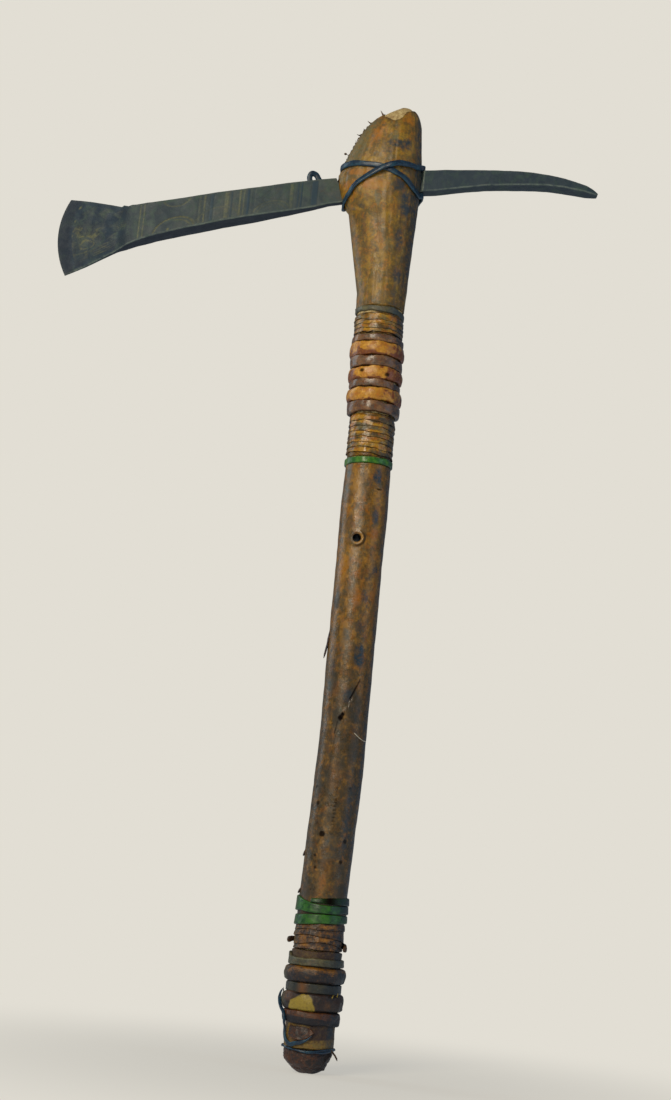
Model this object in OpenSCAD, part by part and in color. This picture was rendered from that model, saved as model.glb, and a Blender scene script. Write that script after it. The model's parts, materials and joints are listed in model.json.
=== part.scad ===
// Hafted adze: a one-piece iron head (flared blade one way, curved pick the other)
// seated in the slotted, swollen end of a hide-covered wooden haft.
// Frame: +Z up the haft from the butt, +X towards the pick, -X towards the blade,
// origin at the centre of the butt's flat end. Millimetres.

/* [Haft] */
// Overall height, butt to the crown of the swollen end
haft_h = 608; // [560:1:660]
// Diameter of the bare wood inside the grip
wood_d = 26.4; // [24:0.2:27]
// Sideways bow of the haft towards the pick, at mid length
bow = 3.2; // [0:0.1:5]
// Thickness of the hide covers
hide_t = 1.0; // [0.6:0.1:1.1]
// Diameter of the lanyard hole
lanyard_d = 5.2; // [3:0.1:7]
// Distance of the lanyard hole from the haft's centreline, towards the blade
lanyard_off = 3.1; // [0:0.1:5]

/* [Iron head] */
// Reach of the cutting edge from the haft's axis
blade_reach = 208; // [190:1:225]
// Length of the cutting edge, corner to corner
edge_len = 51; // [40:1:56]
// Reach of the pick's tip from the haft's axis
pick_reach = 134; // [125:1:150]
// Thickness of the bar where it is thickest
bar_t = 15.2; // [11:0.1:17]
// Thickness of the waist where it lies in the haft's slot
waist_t = 6.0; // [5:0.1:8]
// Slope of the bar up from the blade to the pick, in degrees
bar_slope = 13.4; // [12.5:0.1:14]

/* [Bindings] */
// Thickness of a wound hide strip
strip_t = 1.15; // [0.8:0.05:1.2]
// Width of the dark lashing thong
thong_w = 4.2; // [3:0.1:4.6]
// Thickness of the dark lashing thong
thong_t = 1.8; // [1:0.1:2]

/* [Hidden] */
gap = 0.1;                  // clearance between neighbouring pieces
sides = 36;                 // facets round the haft
strip_sides = 30;           // facets in one turn of a wound strip
wood_r = wood_d / 2;
big = 400;                  // longer than any cut needs to be
up = haft_h / 608;          // heights scale with the haft
ring_gap = 0.2;             // clearance inside a ring, for the haft's slope through it

// Levels up the haft where one piece hands over to the next
z_cap = 14.4 * up;
z_thin = 45.8 * up;
z_pad = 52.2 * up;
z_grey = 62.0 * up;
z_underlay = 70.6 * up;
z_lower_wrap = 71.0 * up;
z_green_wrap = 86.2 * up;
z_green = 366.8 * up;
z_middle = 371.0 * up;
z_upper_wrap = 450.3 * up;
z_neck = 464.8 * up;
z_head = 468.8 * up;
z_bar = 553.2 * up;         // where the waist's centreline crosses the haft's axis
z_lanyard = 319.4 * up;

// Wood stations: [height, axis offset, reach to the blade side, reach to the pick side, half depth]
butt_r = 12.6;
function wood_row(z, x, l, r, d) = [z * up, x, l, r, d];
WOOD = [
    wood_row(1.4, 0, 11.0, 11.0, 11.0),
    wood_row(8, -0.1, butt_r - 0.3, butt_r - 0.3, butt_r - 0.3),
    wood_row(20, -0.2, butt_r, butt_r, butt_r),
    wood_row(60, -0.2, butt_r, butt_r, butt_r),
    wood_row(84, 0.1, wood_r - 0.1, wood_r - 0.1, wood_r - 0.1),
    wood_row(130, bow * 0.35, wood_r, wood_r, wood_r),
    wood_row(190, bow, wood_r, wood_r, wood_r),
    wood_row(290, bow, wood_r + 0.4, wood_r + 0.4, wood_r + 0.4),
    wood_row(370, bow, wood_r, wood_r, wood_r),
    wood_row(400, bow * 0.95, wood_r, wood_r, wood_r),
    wood_row(430, bow * 0.7, 14.0, 14.0, 14.0),
    wood_row(466, bow * 0.5, 14.3, 14.2, 14.1),
    wood_row(490, bow * 0.45, 14.9, 15.0, 14.7),
    wood_row(509, bow * 0.35, 16.2, 16.1, 15.5),
    wood_row(521, 0.6, 16.9, 17.0, 16.2),
    wood_row(529, 0.3, 19.8, 17.7, 17.0),
    wood_row(537, 0, 27.0, 18.4, 18.0),
    wood_row(549, 0, 31.5, 18.6, 18.6),
    wood_row(561, 0, 30.2, 18.6, 18.4),
    wood_row(576, 0, 24.9, 17.8, 17.0),
    wood_row(589, 0.2, 19.2, 16.5, 14.4),
    wood_row(598, 1.2, 12.6, 14.2, 11.0),
    wood_row(604, 3.2, 6.2, 9.8, 7.2),
    wood_row(607.2, 5.0, 3.4, 5.4, 3.6)];

// ---- curves -------------------------------------------------------------------------------

function row_below(t, z, i = 0) = i >= len(t) - 2 || z < t[i + 1][0] ? i : row_below(t, z, i + 1);
function slope(t, i, c) =
    let (a = max(i - 1, 0), b = min(i + 1, len(t) - 1)) (t[b][c] - t[a][c]) / (t[b][0] - t[a][0]);
// Column c of table t at z, as a smooth curve through its rows
function curve(t, z, c) =
    let (i = row_below(t, z), h = t[i + 1][0] - t[i][0], s = (z - t[i][0]) / h)
    (2 * s ^ 3 - 3 * s ^ 2 + 1) * t[i][c] + (s ^ 3 - 2 * s ^ 2 + s) * h * slope(t, i, c)
    + (3 * s ^ 2 - 2 * s ^ 3) * t[i + 1][c] + (s ^ 3 - s ^ 2) * h * slope(t, i + 1, c);
function unit(v) = v / norm(v);
function axis_x(z) = curve(WOOD, z, 1);
function wood_at(z) = curve(WOOD, z, 4);

// A point on the haft at angle a (0 = pick side, 90 = back) and height z, off millimetres proud of the wood
function haft_point(a, z, off = 0) = [
    axis_x(z) + (curve(WOOD, z, cos(a) < 0 ? 2 : 3) + off) * cos(a),
    (wood_at(z) + off) * sin(a), z];

// Heights at which the haft's surface has a ring of points, closer where it swells
function levels(z0, z1, step) = let (n = ceil((z1 - z0) / step)) [for (i = [0:n]) z0 + (z1 - z0) * i / n];
LEVELS = [for (z = concat(
    levels(1.4, 60, 15), levels(72, 132, 12), levels(160, 400, 30), levels(412, 466, 13),
    levels(478, 510, 10), levels(516, 588, 6), levels(592, 607.2, 3.8))) z * up];
function levels_between(z0, z1) = concat([z0], [for (z = LEVELS) if (z > z0 + 1 && z < z1 - 1) z], [z1]);

function haft_ring(z, off = 0) = [for (j = [0:sides - 1]) haft_point(360 * j / sides, z, off)];

// ---- solids from rings of points ----------------------------------------------------------

// Joins a chain of equal rings; closed joins the last ring to the first, else flat ends close it
module skin(rings, closed = false) {
    n = len(rings[0]);
    m = len(rings);
    function at(i, j) = (i % m) * n + j % n;
    polyhedron(
        points = [for (ring = rings, p = ring) p],
        faces = concat(
            [for (i = [0:closed ? m - 1 : m - 2], j = [0:n - 1], f = [
                [at(i, j), at(i + 1, j), at(i + 1, j + 1)],
                [at(i, j), at(i + 1, j + 1), at(i, j + 1)]]) f],
            closed ? [] : [
                [for (j = [0:n - 1]) j],
                [for (j = [n - 1:-1:0]) (m - 1) * n + j]]));
}

// A cover over the wood between two heights, from off0 to off1 millimetres proud of it
module haft_shell(z0, z1, off0, off1) {
    zs = levels_between(z0, z1);
    skin(concat(
        [for (z = zs) haft_ring(z, off1)],
        [for (i = [len(zs) - 1:-1:0]) haft_ring(zs[i], off0)]), closed = true);
}

// A flat strap swept along path points with outward normals; its outer edges are chamfered
function strap_ring(p, tangent, normal, w, t) =
    let (v = unit(cross(tangent, normal)), u = unit(cross(v, tangent)), c = t * 0.3)
    [for (q = [[t / 2, -w / 2 + c], [t / 2, w / 2 - c], [t / 2 - c, w / 2],
        [-t / 2, w / 2], [-t / 2, -w / 2], [t / 2 - c, -w / 2]])
        p + u * q[0] + v * q[1]];

module strap(path, normals, w, t, closed = false) {
    n = len(path);
    function before(i) = closed ? (i + n - 1) % n : max(i - 1, 0);
    function after(i) = closed ? (i + 1) % n : min(i + 1, n - 1);
    skin([for (i = [0:n - 1]) strap_ring(path[i], unit(path[after(i)] - path[before(i)]), normals[i], w, t)],
        closed);
}

// A strip wound round the haft from height z0, one turn every pitch
module wound_strip(z0, turns, pitch, w, t, off = 0, start = 90) {
    steps = ceil(turns * strip_sides);
    function ang(i) = start + 360 * turns * i / steps;
    function level(i) = z0 + pitch / 2 + turns * pitch * i / steps;
    strap(
        [for (i = [0:steps]) haft_point(ang(i), level(i), off + gap + t / 2)],
        [for (i = [0:steps]) [cos(ang(i)), sin(ang(i)), 0]], w, t);
}

// ---- rings turned true about the haft ------------------------------------------------------

// Centres a ring that runs from z0 to z1 on the haft's axis
module round_haft(z0, z1) translate([axis_x((z0 + z1) / 2), 0, z0]) children();

function seat_r(z0, z1) = max(wood_at(z0), wood_at((z0 + z1) / 2), wood_at(z1)) + ring_gap;

// A plain band with eased edges
module band(z0, z1, r_in, r_out) {
    ease = min(0.6, (r_out - r_in) / 3);
    round_haft(z0, z1) rotate_extrude($fn = 72)
        polygon([[r_in, gap], [r_out - ease, gap], [r_out, ease + gap], [r_out, z1 - z0 - ease - gap],
            [r_out - ease, z1 - z0 - gap], [r_in, z1 - z0 - gap]]);
}

// A padded ring, crowned between its edges
module padded(z0, z1, r_in, r_out, crown) {
    h = z1 - z0 - 2 * gap;
    arc_steps = 10;
    round_haft(z0, z1) translate([0, 0, gap]) rotate_extrude($fn = 72)
        polygon(concat([[r_in, 0]],
            [for (i = [0:arc_steps]) [r_out - crown + crown * sin(180 * i / arc_steps), h * i / arc_steps]],
            [[r_in, h]]));
}

// ---- wood ------------------------------------------------------------------------------------

module haft_solid() skin([for (z = LEVELS) haft_ring(z)]);

// The bar's waist passes here; the slot is sawn down to it from the crown
module bar_frame() translate([0, 0, z_bar]) rotate([0, -bar_slope, 0]) children();
waist_h = 13.4;             // height of the waist

module slot_region(low, half_w)
    bar_frame() translate([-big / 2, -half_w, low]) cube([big, 2 * half_w, big / 2]);

module haft_core() color("burlywood") difference() {
    haft_solid();
    slot_region(-waist_h / 2 - gap, waist_t / 2 + gap);
    translate([axis_x(z_lanyard) - lanyard_off, 0, z_lanyard]) rotate([90, 0, 0])
        cylinder(d = lanyard_d, h = 4 * wood_r, center = true, $fn = 48);
}

module slot_plug() color("tan") intersection() {
    haft_solid();
    slot_region(waist_h / 2 + gap, waist_t / 2);
}

// ---- iron head -------------------------------------------------------------------------------

neck_x = -33;               // where the bar's waist meets the haft on the blade side
shoulder_x = 20.8;          // square shoulder of the pick
flare_x = -163;             // where the bar opens into the blade
edge_sag = 6.5;             // how far the cutting edge bows out
edge_lean = 1.0;            // how far the edge's upper corner leans out, and its lower corner in

// Side view, from the blade's top corner round the edge, along underneath and back over the pick
function edge_arc(n) =
    let (r = (edge_len ^ 2 / 4 + edge_sag ^ 2) / (2 * edge_sag), half = asin(edge_len / 2 / r))
    [for (i = [0:n]) let (a = half - 2 * half * i / n)
        [-blade_reach + r * (1 - cos(a)) - edge_lean * sin(a) / sin(half), 498.5 * up + r * sin(a)]];

PICK_LOW = [[shoulder_x, 550.9], [30, 552.3], [43, 555.1], [62, 558.9], [84, 561.3], [104, 562.6], [122, 561.3]];
PICK_TOP = [[shoulder_x, 565.4], [44, 568.0], [68, 569.9], [88, 570.6], [106, 569.4], [122, 566.3]];
pick_k = (pick_reach - shoulder_x) / (134 - shoulder_x);
function pick_curve(t, n) = [for (i = [0:n]) let (x = shoulder_x + (122 - shoulder_x) * i / n)
    [shoulder_x + (x - shoulder_x) * pick_k, curve(t, x, 1) * up]];
function reversed(v) = [for (i = [len(v) - 1:-1:0]) v[i]];
function pick_nose(n) = [for (i = [1:n - 1]) let (a = -90 + 180 * i / n)
    [shoulder_x + (122 - shoulder_x + 12 * cos(a) ^ 0.7 - 1.6 * sin(a)) * pick_k,
        (563.8 + 2.55 * sin(a) - 2.5 * cos(a)) * up]];

BAR_LOW = [[-188.5, 479.6], [-179, 486.0], [-168, 493.2], [flare_x, 496.2], [-158, 498.8], [-145, 504.2],
    [-126, 510.5], [-105, 517.3], [-83, 523.5], [-58, 530.7], [-46, 534.3], [-38.6, 537.1], [neck_x, 538.4]];
BAR_TOP = [[neck_x - 1.5, 555.3], [-46, 552.9], [-64, 548.2], [-83, 542.7], [-108, 536.4], [-133, 529.7],
    [-151, 525.2], [-160, 523.4], [-162.4, 523.3], [-165, 522.3], [-168, 523.1], [-169.4, 522.0],
    [-180, 523.3], [-191, 524.0]];
module side_outline() polygon(concat(
    edge_arc(16),
    [for (p = BAR_LOW) [p[0], p[1] * up]],
    [[shoulder_x, z_bar - waist_h / 2 / cos(bar_slope) + shoulder_x * tan(bar_slope)]],
    pick_curve(PICK_LOW, 10), pick_nose(8), reversed(pick_curve(PICK_TOP, 10)),
    [for (x = [shoulder_x, neck_x]) [x, z_bar + waist_h / 2 / cos(bar_slope) + x * tan(bar_slope)]],
    [for (p = BAR_TOP) [p[0], p[1] * up]]));

// Plan view: half thickness along the head
HALF = [[-blade_reach - 1, 0.25], [-blade_reach + 10, 0.95], [-180, 1.6], [-169, 2.2], [-164.5, 4.9],
    [-150, bar_t * 0.47], [-126, bar_t / 2], [-100, bar_t / 2], [-82, bar_t * 0.46], [-64, bar_t * 0.34],
    [-46, waist_t / 2 + 0.4], [neck_x, waist_t / 2], [shoulder_x, waist_t / 2],
    [shoulder_x + 0.01, bar_t * 0.33], [62, bar_t * 0.36], [90, bar_t * 0.40], [112, bar_t * 0.42],
    [126, bar_t * 0.36], [pick_reach + 1, bar_t * 0.18]];
module plan_outline() polygon(concat(HALF, reversed([for (p = HALF) [p[0], -p[1]]])));

module iron_head() color("darkslategray") intersection() {
    rotate([90, 0, 0]) linear_extrude(height = 2 * bar_t, center = true) side_outline();
    translate([0, 0, 440 * up]) linear_extrude(height = 170 * up) plan_outline();
}

// ---- head cover and lashing --------------------------------------------------------------------

crown_cut = 40;             // tilt of the cover's open top, down towards the blade
module head_hide() color("peru") difference() {
    haft_shell(z_head + gap, 607.2 * up, 2 * gap, gap + hide_t);
    bar_frame() cube([big, waist_t + 1.6, waist_h + 4.6], center = true);
    translate([-6, 0, 602.5 * up]) rotate([0, -crown_cut, 0])
        translate([-big / 2, -big / 2, 0]) cube(big);
}

// Ends of the stiff stitches along the cover's seam, on the blade-side slope
STITCH_ZS = [566, 573, 579.5, 586, 591, 595.5, 599.5];
module head_stitches() color("sienna")
    for (z = STITCH_ZS)
        translate(haft_point(180, z * up, hide_t + 6 * gap)) rotate([0, -66, 0])
            cylinder(r1 = 0.6, r2 = 0.2, h = 2.8, $fn = 16);

// Height of each diagonal turn against its angle from the blade side (0) to the pick side (180)
TURN_A = [[-20, 563], [0, 562.6], [25, 562], [41, 561.9], [60, 560.6], [76, 559.4], [96, 556.1], [118, 552.8],
    [135, 548.9], [150, 546.7], [161, 546.4], [172, 547.9], [180, 548.6], [200, 548.6]];
TURN_B = [[-20, 536.2], [0, 536.2], [15, 537.6], [25, 539.2], [36, 542], [51, 548.1], [69, 554],
    [83, 558.6], [99, 561.5], [119, 562.7], [150, 564.2], [165, 567.7], [180, 569.2], [200, 569.2]];
function turn_level(t, a) = curve(t, a > 180 ? 360 - a : a, 1) * up;
// How far turn b rises to ride over turn a, front and back
function ride_over(a) = let (s = a > 180 ? 360 - a : a) (thong_t + 2 * gap) * exp(-((s - 84) / 30) ^ 2);

module diagonal_turn(t, lift = false) {
    n = 72;
    function a(i) = 360 * i / n;
    strap(
        [for (i = [0:n - 1]) haft_point(180 + a(i), turn_level(t, a(i)),
            hide_t + thong_t / 2 + (lift ? 12 * gap + ride_over(a(i)) : 5 * gap))],
        [for (i = [0:n - 1]) [-cos(a(i)), -sin(a(i)), 0.12]], thong_w, thong_t, closed = true);
}

module lashing_turn_a() color("midnightblue") diagonal_turn(TURN_A);
module lashing_turn_b() color("midnightblue") diagonal_turn(TURN_B, lift = true);

// The thong's tied end, a stiff bight that stands up behind the bar: [step, x, clear of the bar's back, z]
BIGHT = [[0, -36.5, 2.4, 545], [1, -43, 1.9, 546.6], [2, -49.4, 1.7, 551.2], [3, -53.0, 1.8, 558.6],
    [4, -51.2, 2.2, 562.0], [5, -48.6, 2.6, 558.8], [6, -45.8, 2.8, 555.6]];
module lashing_end() color("midnightblue") {
    path = [for (i = [0:30]) let (s = i / 5)
        [curve(BIGHT, s, 1), 5.6 + curve(BIGHT, s, 2), curve(BIGHT, s, 3) * up]];
    strap(path, [for (p = path) [0, 1, 0]], 3.0, 1.6);
}

// ---- upper bindings ------------------------------------------------------------------------------

module neck_band() color("slategray")
    band(z_neck, z_head, seat_r(z_neck, z_head), 15.5);
module upper_wrap() color("peru") wound_strip(z_upper_wrap + 0.1, 3.1, 3.5, 3.25, strip_t + 0.2, gap / 2);

RING_ZS = [for (z = [399.6, 406.7, 415.7, 420.9, 429.1, 436.2, 445.5, 450.2]) z * up];
module ring_between(i, r_out, crown) {
    z0 = RING_ZS[i];
    z1 = RING_ZS[i + 1];
    padded(z0, z1, seat_r(z0, z1), r_out, crown);
}
module dark_band_3() color("saddlebrown") ring_between(0, 16.0, 0.5);
module pale_ring_3() color("goldenrod") ring_between(1, 17.1, 1.4);
module dark_band_2() color("saddlebrown") ring_between(2, 16.0, 0.5);
module pale_ring_2() color("goldenrod") ring_between(3, 17.1, 1.2);
module dark_band_1() color("saddlebrown") ring_between(4, 16.7, 0.6);
module pale_ring_1() color("goldenrod") ring_between(5, 16.8, 1.0);
module upper_collar() color("saddlebrown") ring_between(6, 16.3, 0.5);

module middle_wrap() color("peru") wound_strip(z_middle + 0.2, 6.1, 4.0, 3.7, strip_t, 1.5 * gap);
module green_band() color("limegreen")
    band(z_green, z_middle, seat_r(z_green, z_middle), 15.2);

// ---- grip ------------------------------------------------------------------------------------------

z_grip_low = 86 * up;
module grip_hide() color("peru") difference() {
    haft_shell(z_grip_low, z_green, gap, gap + hide_t);
    translate([axis_x(z_lanyard) - lanyard_off, 0, z_lanyard]) rotate([90, 0, 0])
        cylinder(d = lanyard_d, h = 4 * wood_r, center = true, $fn = 48);
}

// Whip stitches that close the grip hide down the back
module grip_stitches() color("sienna")
    for (z = [z_green_wrap + 20:7:z_green - 6])
        translate(haft_point(90, z, hide_t + 3 * gap + 0.4)) rotate([0, 70, 0])
            cylinder(r = 0.35, h = 5, center = true, $fn = 16);

// ---- lower bindings and butt ---------------------------------------------------------------------

module green_wrap() color("seagreen")
    wound_strip(z_green_wrap + 0.5, 1.6, 6.1, 5.6, strip_t, hide_t + 1.5 * gap, start = 170);
module lower_wrap() color("saddlebrown") wound_strip(z_lower_wrap + 0.2, 2.9, 3.75, 3.4, strip_t + 0.5);

// Frayed ends of the lower strip that stand off on each side
module wrap_end(side, z, lift) {
    path = [for (i = [0:8]) let (a = side + 9 * i) haft_point(a, (z - 0.16 * i) * up, 2.7 + lift * i / 8)];
    strap(path, [for (i = [0:8]) [cos(side + 9 * i), sin(side + 9 * i), 0]], 2.4, 1.4);
}
module wrap_end_blade_side() color("sienna") wrap_end(148, 78.6, 1.6);
module wrap_end_pick_side() color("sienna") wrap_end(-30, 74.6, 0.9);

underlay_t = 2.1;
module butt_underlay() color("khaki") haft_shell(z_cap, z_underlay, gap, gap + underlay_t);

// What a ring must clear: the underlay over the wood
function over_underlay(z0, z1) = seat_r(z0, z1) + gap + underlay_t;
module grey_band() color("slategray")
    band(z_grey, z_grey + 4.2, over_underlay(z_grey, z_grey + 4.2), 16.5);
module padded_ring() color("saddlebrown")
    padded(z_pad, z_grey - 0.2, over_underlay(z_pad, z_grey), 18.5, 2.2);
module thin_band() color("slategray") band(z_thin, z_pad, over_underlay(z_thin, z_pad), 16.6);
z_pale_4 = 36.2 * up;
z_brown = 28.4 * up;
module pale_ring_4() color("khaki")
    padded(z_pale_4, z_thin, over_underlay(z_pale_4, z_thin), 18.8, 1.5);
module brown_band() color("saddlebrown")
    padded(z_brown, z_pale_4, over_underlay(z_brown, z_pale_4), 17.4, 0.8);

// A lifted scrap of the top hide on the front
module loose_flap() color("sienna") {
    path = [for (i = [0:9])
        haft_point(216 + 6.4 * i, (22.8 + 1.2 * sin(20 * i)) * up, 2.8 + 0.5 * sin(20 * i))];
    strap(path, [for (i = [0:9]) [cos(216 + 6.4 * i), sin(216 + 6.4 * i), 0]], 9.0, 0.8);
}

// Thong down the blade side of the butt and once round it below the scrap: [step, angle, height, lift]
THONG = [[0, 186, 48, 7.2], [1, 189, 40, 7.1], [2, 190, 31, 5.9], [3, 192, 24, 4.1], [4, 205, 17.4, 3.1],
    [5, 232, 16.4, 3.1], [6, 262, 16.4, 3.1]];
module butt_thong() color("midnightblue") {
    steps = [for (i = [0:30]) i / 5];
    path = [for (s = steps) haft_point(curve(THONG, s, 1), curve(THONG, s, 2) * up, curve(THONG, s, 3))];
    strap(path, [for (s = steps) [cos(curve(THONG, s, 1)), sin(curve(THONG, s, 1)), 0]], 1.8, 1.2);
}

cord_r = 0.7;
cord_z = 13.6 * up;
module butt_cord() color("black")
    translate([0, 0, cord_z]) rotate_extrude($fn = 72)
        translate([14.9 + cord_r + gap, 0]) circle(r = cord_r, $fn = 24);
module butt_cord_end() color("sienna") {
    path = [for (i = [0:8]) [14.4 + 0.42 * i, -2 - 0.1 * i, (11.6 - 0.05 * i * i) * up]];
    strap(path, [for (i = [0:8]) [0.6, 0, 0.8]], 1.7, 0.8);
}

// Hide turned under the end of the butt
cap_r = 14.2;
module butt_cap() color("saddlebrown") rotate_extrude($fn = 72)
    polygon([[0, 0], [9.6, 0], [12.0, 1.2 * up], [cap_r - 0.7, 4.6 * up], [cap_r, 9 * up],
        [cap_r, z_cap - gap], [13.0, z_cap - gap], [12.8, 8 * up], [11.9, 4 * up], [11.4, 1.3 * up],
        [0, 1.3 * up]]);

// ---- one line for each node --------------------------------------------------------------------

haft_core();
slot_plug();
iron_head();
head_hide();
head_stitches();
lashing_turn_a();
lashing_turn_b();
lashing_end();
neck_band();
upper_wrap();
upper_collar();
pale_ring_1();
dark_band_1();
pale_ring_2();
dark_band_2();
pale_ring_3();
dark_band_3();
middle_wrap();
green_band();
grip_hide();
grip_stitches();
green_wrap();
lower_wrap();
wrap_end_blade_side();
wrap_end_pick_side();
butt_underlay();
grey_band();
padded_ring();
thin_band();
pale_ring_4();
brown_band();
loose_flap();
butt_thong();
butt_cord();
butt_cord_end();
butt_cap();
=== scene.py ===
"""A hafted adze: blued iron head, hide-covered haft, hide bindings and thongs, on a plain pale floor.

Lengths are millimetres in the CAD frame until a mesh is made; +Z runs up the haft, +X points to the pick,
-X to the blade and -Y to the camera. Angles round the haft are radians from +X, so the front is at -90 degrees.
"""

import itertools
import json
import math

import bmesh
import bpy
import numpy as np
from mathutils import Matrix, Vector
from mathutils.bvhtree import BVHTree


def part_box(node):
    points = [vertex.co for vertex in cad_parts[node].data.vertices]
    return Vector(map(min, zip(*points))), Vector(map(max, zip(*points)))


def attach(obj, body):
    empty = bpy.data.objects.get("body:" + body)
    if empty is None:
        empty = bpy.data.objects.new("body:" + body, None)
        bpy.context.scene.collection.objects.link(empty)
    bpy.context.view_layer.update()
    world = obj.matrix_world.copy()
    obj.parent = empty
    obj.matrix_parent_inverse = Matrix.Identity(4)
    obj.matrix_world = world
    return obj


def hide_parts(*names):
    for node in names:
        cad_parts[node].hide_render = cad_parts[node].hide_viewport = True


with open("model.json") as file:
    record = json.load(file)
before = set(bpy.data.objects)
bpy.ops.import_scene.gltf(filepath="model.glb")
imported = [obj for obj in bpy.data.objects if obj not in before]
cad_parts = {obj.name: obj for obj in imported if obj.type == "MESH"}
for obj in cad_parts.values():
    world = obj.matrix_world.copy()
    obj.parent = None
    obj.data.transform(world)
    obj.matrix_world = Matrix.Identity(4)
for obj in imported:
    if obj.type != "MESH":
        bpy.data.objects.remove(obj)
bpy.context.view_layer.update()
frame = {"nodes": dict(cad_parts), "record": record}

MM = 0.001
TURN = 2 * math.pi
FRONT = -math.pi / 2
BLADE_SIDE = -math.pi
PICK_SIDE = 0.0


# ---- numbers, curves and noise ---------------------------------------------------------------

def node_box(name):
    """Lowest and highest corner of a CAD node, in millimetres."""
    low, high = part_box(name)
    return np.array(low) / MM, np.array(high) / MM


def node_points(name):
    mesh = frame["nodes"][name].data
    co = np.zeros(len(mesh.vertices) * 3)
    mesh.vertices.foreach_get("co", co)
    return co.reshape(-1, 3) / MM


def smooth(t):
    t = np.clip(t, 0, 1)
    return t * t * (3 - 2 * t)


def near(value, centre, reach):
    """1 at centre, falling smoothly to 0 at reach from it."""
    return smooth(1 - np.abs(value - centre) / reach)


def around(a, centre, reach):
    """As near, for an angle round the haft."""
    return near((a - centre + math.pi) % TURN - math.pi, 0, reach)


def front_angle(a):
    """Angle from the front, -pi to pi, positive towards the pick."""
    return (a - FRONT + math.pi) % TURN - math.pi


class Curve:
    """A smooth curve through rows of (position, value, ...)."""

    def __init__(self, rows):
        rows = np.array(rows, float)
        self.x, self.y = rows[:, 0], rows[:, 1:]
        self.slope = np.gradient(self.y, self.x, axis=0)

    def __call__(self, x, column=0):
        x = np.clip(np.asarray(x, float), self.x[0], self.x[-1])
        i = np.clip(np.searchsorted(self.x, x) - 1, 0, len(self.x) - 2)
        h = self.x[i + 1] - self.x[i]
        s = (x - self.x[i]) / h
        y, m = self.y[:, column], self.slope[:, column]
        return ((2 * s**3 - 3 * s**2 + 1) * y[i] + (s**3 - 2 * s**2 + s) * h * m[i]
                + (3 * s**2 - 2 * s**3) * y[i + 1] + (s**3 - s**2) * h * m[i + 1])


def value_noise(p, seed):
    """Smooth noise in -1..1 at points p (..., 3), with one feature per unit."""
    cell = np.floor(p).astype(np.int64)
    f = p - cell
    f = f * f * (3 - 2 * f)
    total = np.zeros(p.shape[:-1])
    for corner in itertools.product((0, 1), repeat=3):
        c = cell + np.array(corner)
        h = (c[..., 0] * 374761393 + c[..., 1] * 668265263 + c[..., 2] * 1440662683 + seed * 974634777) & 0x7FFFFFFF
        h = ((h ^ (h >> 13)) * 1274126177) & 0x7FFFFFFF
        value = ((h ^ (h >> 16)) & 0xFFFF) / 32767.5 - 1
        total += np.prod(np.where(np.array(corner) == 1, f, 1 - f), axis=-1) * value
    return total


def fractal(p, size, seed, octaves=3):
    """Layered noise whose largest features measure size millimetres."""
    return sum(value_noise(p * (2**k / size), seed + 17 * k) * 0.5**k for k in range(octaves))


# ---- the haft, read back from the frame --------------------------------------------------------

def haft_stations():
    """The wood's section at each height where the CAD solid has a ring of points:
    height, axis offset, reach to the blade side, reach to the pick side, half depth."""
    points = np.vstack([node_points("haft_core"), node_points("slot_plug")])
    rows = []
    for z in np.unique(np.round(points[:, 2], 2)):
        ring = np.unique(np.round(points[np.abs(points[:, 2] - z) < 0.02], 2), axis=0)
        if len(ring) < 28:
            continue
        depth = np.abs(ring[:, 1]).max()
        axis = ring[np.abs(ring[:, 1]) > depth * 0.995, 0].mean()
        across = np.sqrt(np.clip(1 - (ring[:, 1] / depth) ** 2, 0, 1))
        reach = [np.median(np.abs(ring[side, 0] - axis) / across[side])
                 for side in ((ring[:, 0] < axis) & (across > 0.3), (ring[:, 0] > axis) & (across > 0.3))]
        rows.append((z, axis, reach[0], reach[1], depth))
    return Curve(rows)


HAFT = haft_stations()
CROWN_Z = HAFT.x[-1]


def haft_axis(z):
    return HAFT(z, 0)


def on_haft(a, z, off=0.0):
    """Points at angle a and height z, off millimetres proud of the wood; the inputs broadcast."""
    a, z, off = np.broadcast_arrays(np.asarray(a, float), np.asarray(z, float), np.asarray(off, float))
    reach = np.where(np.cos(a) < 0, HAFT(z, 1), HAFT(z, 2))
    return np.stack([haft_axis(z) + (reach + off) * np.cos(a), (HAFT(z, 3) + off) * np.sin(a), z], axis=-1)


LANYARD = next(m for m in frame["record"]["mounts"] if m["name"] == "lanyard_hole")
HOLE_X, HOLE_Z = LANYARD["pos_m"][0] / MM, LANYARD["pos_m"][2] / MM
HOLE_R = LANYARD["dims"]["r_mm"]


# ---- meshes --------------------------------------------------------------------------------------

def make_piece(name, verts, faces, material, replaces=(), values=None):
    """A finished piece on the tool's one body, from points in millimetres. Values are per-point attributes."""
    mesh = bpy.data.meshes.new(name)
    mesh.from_pydata((np.asarray(verts, float) * MM).tolist(), [], faces)
    turned = bmesh.new()
    turned.from_mesh(mesh)
    bmesh.ops.recalc_face_normals(turned, faces=turned.faces)
    turned.to_mesh(mesh)
    turned.free()
    for key, value in (values or {}).items():
        layer = mesh.attributes.new(key, "FLOAT", "POINT")
        layer.data.foreach_set("value", np.asarray(value, np.float32).ravel())
    mesh.polygons.foreach_set("use_smooth", [True] * len(mesh.polygons))
    mesh.materials.append(material)
    piece = bpy.data.objects.new(name, mesh)
    bpy.context.scene.collection.objects.link(piece)
    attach(piece, "root")
    if replaces:
        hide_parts(*replaces)
    return piece


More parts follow.
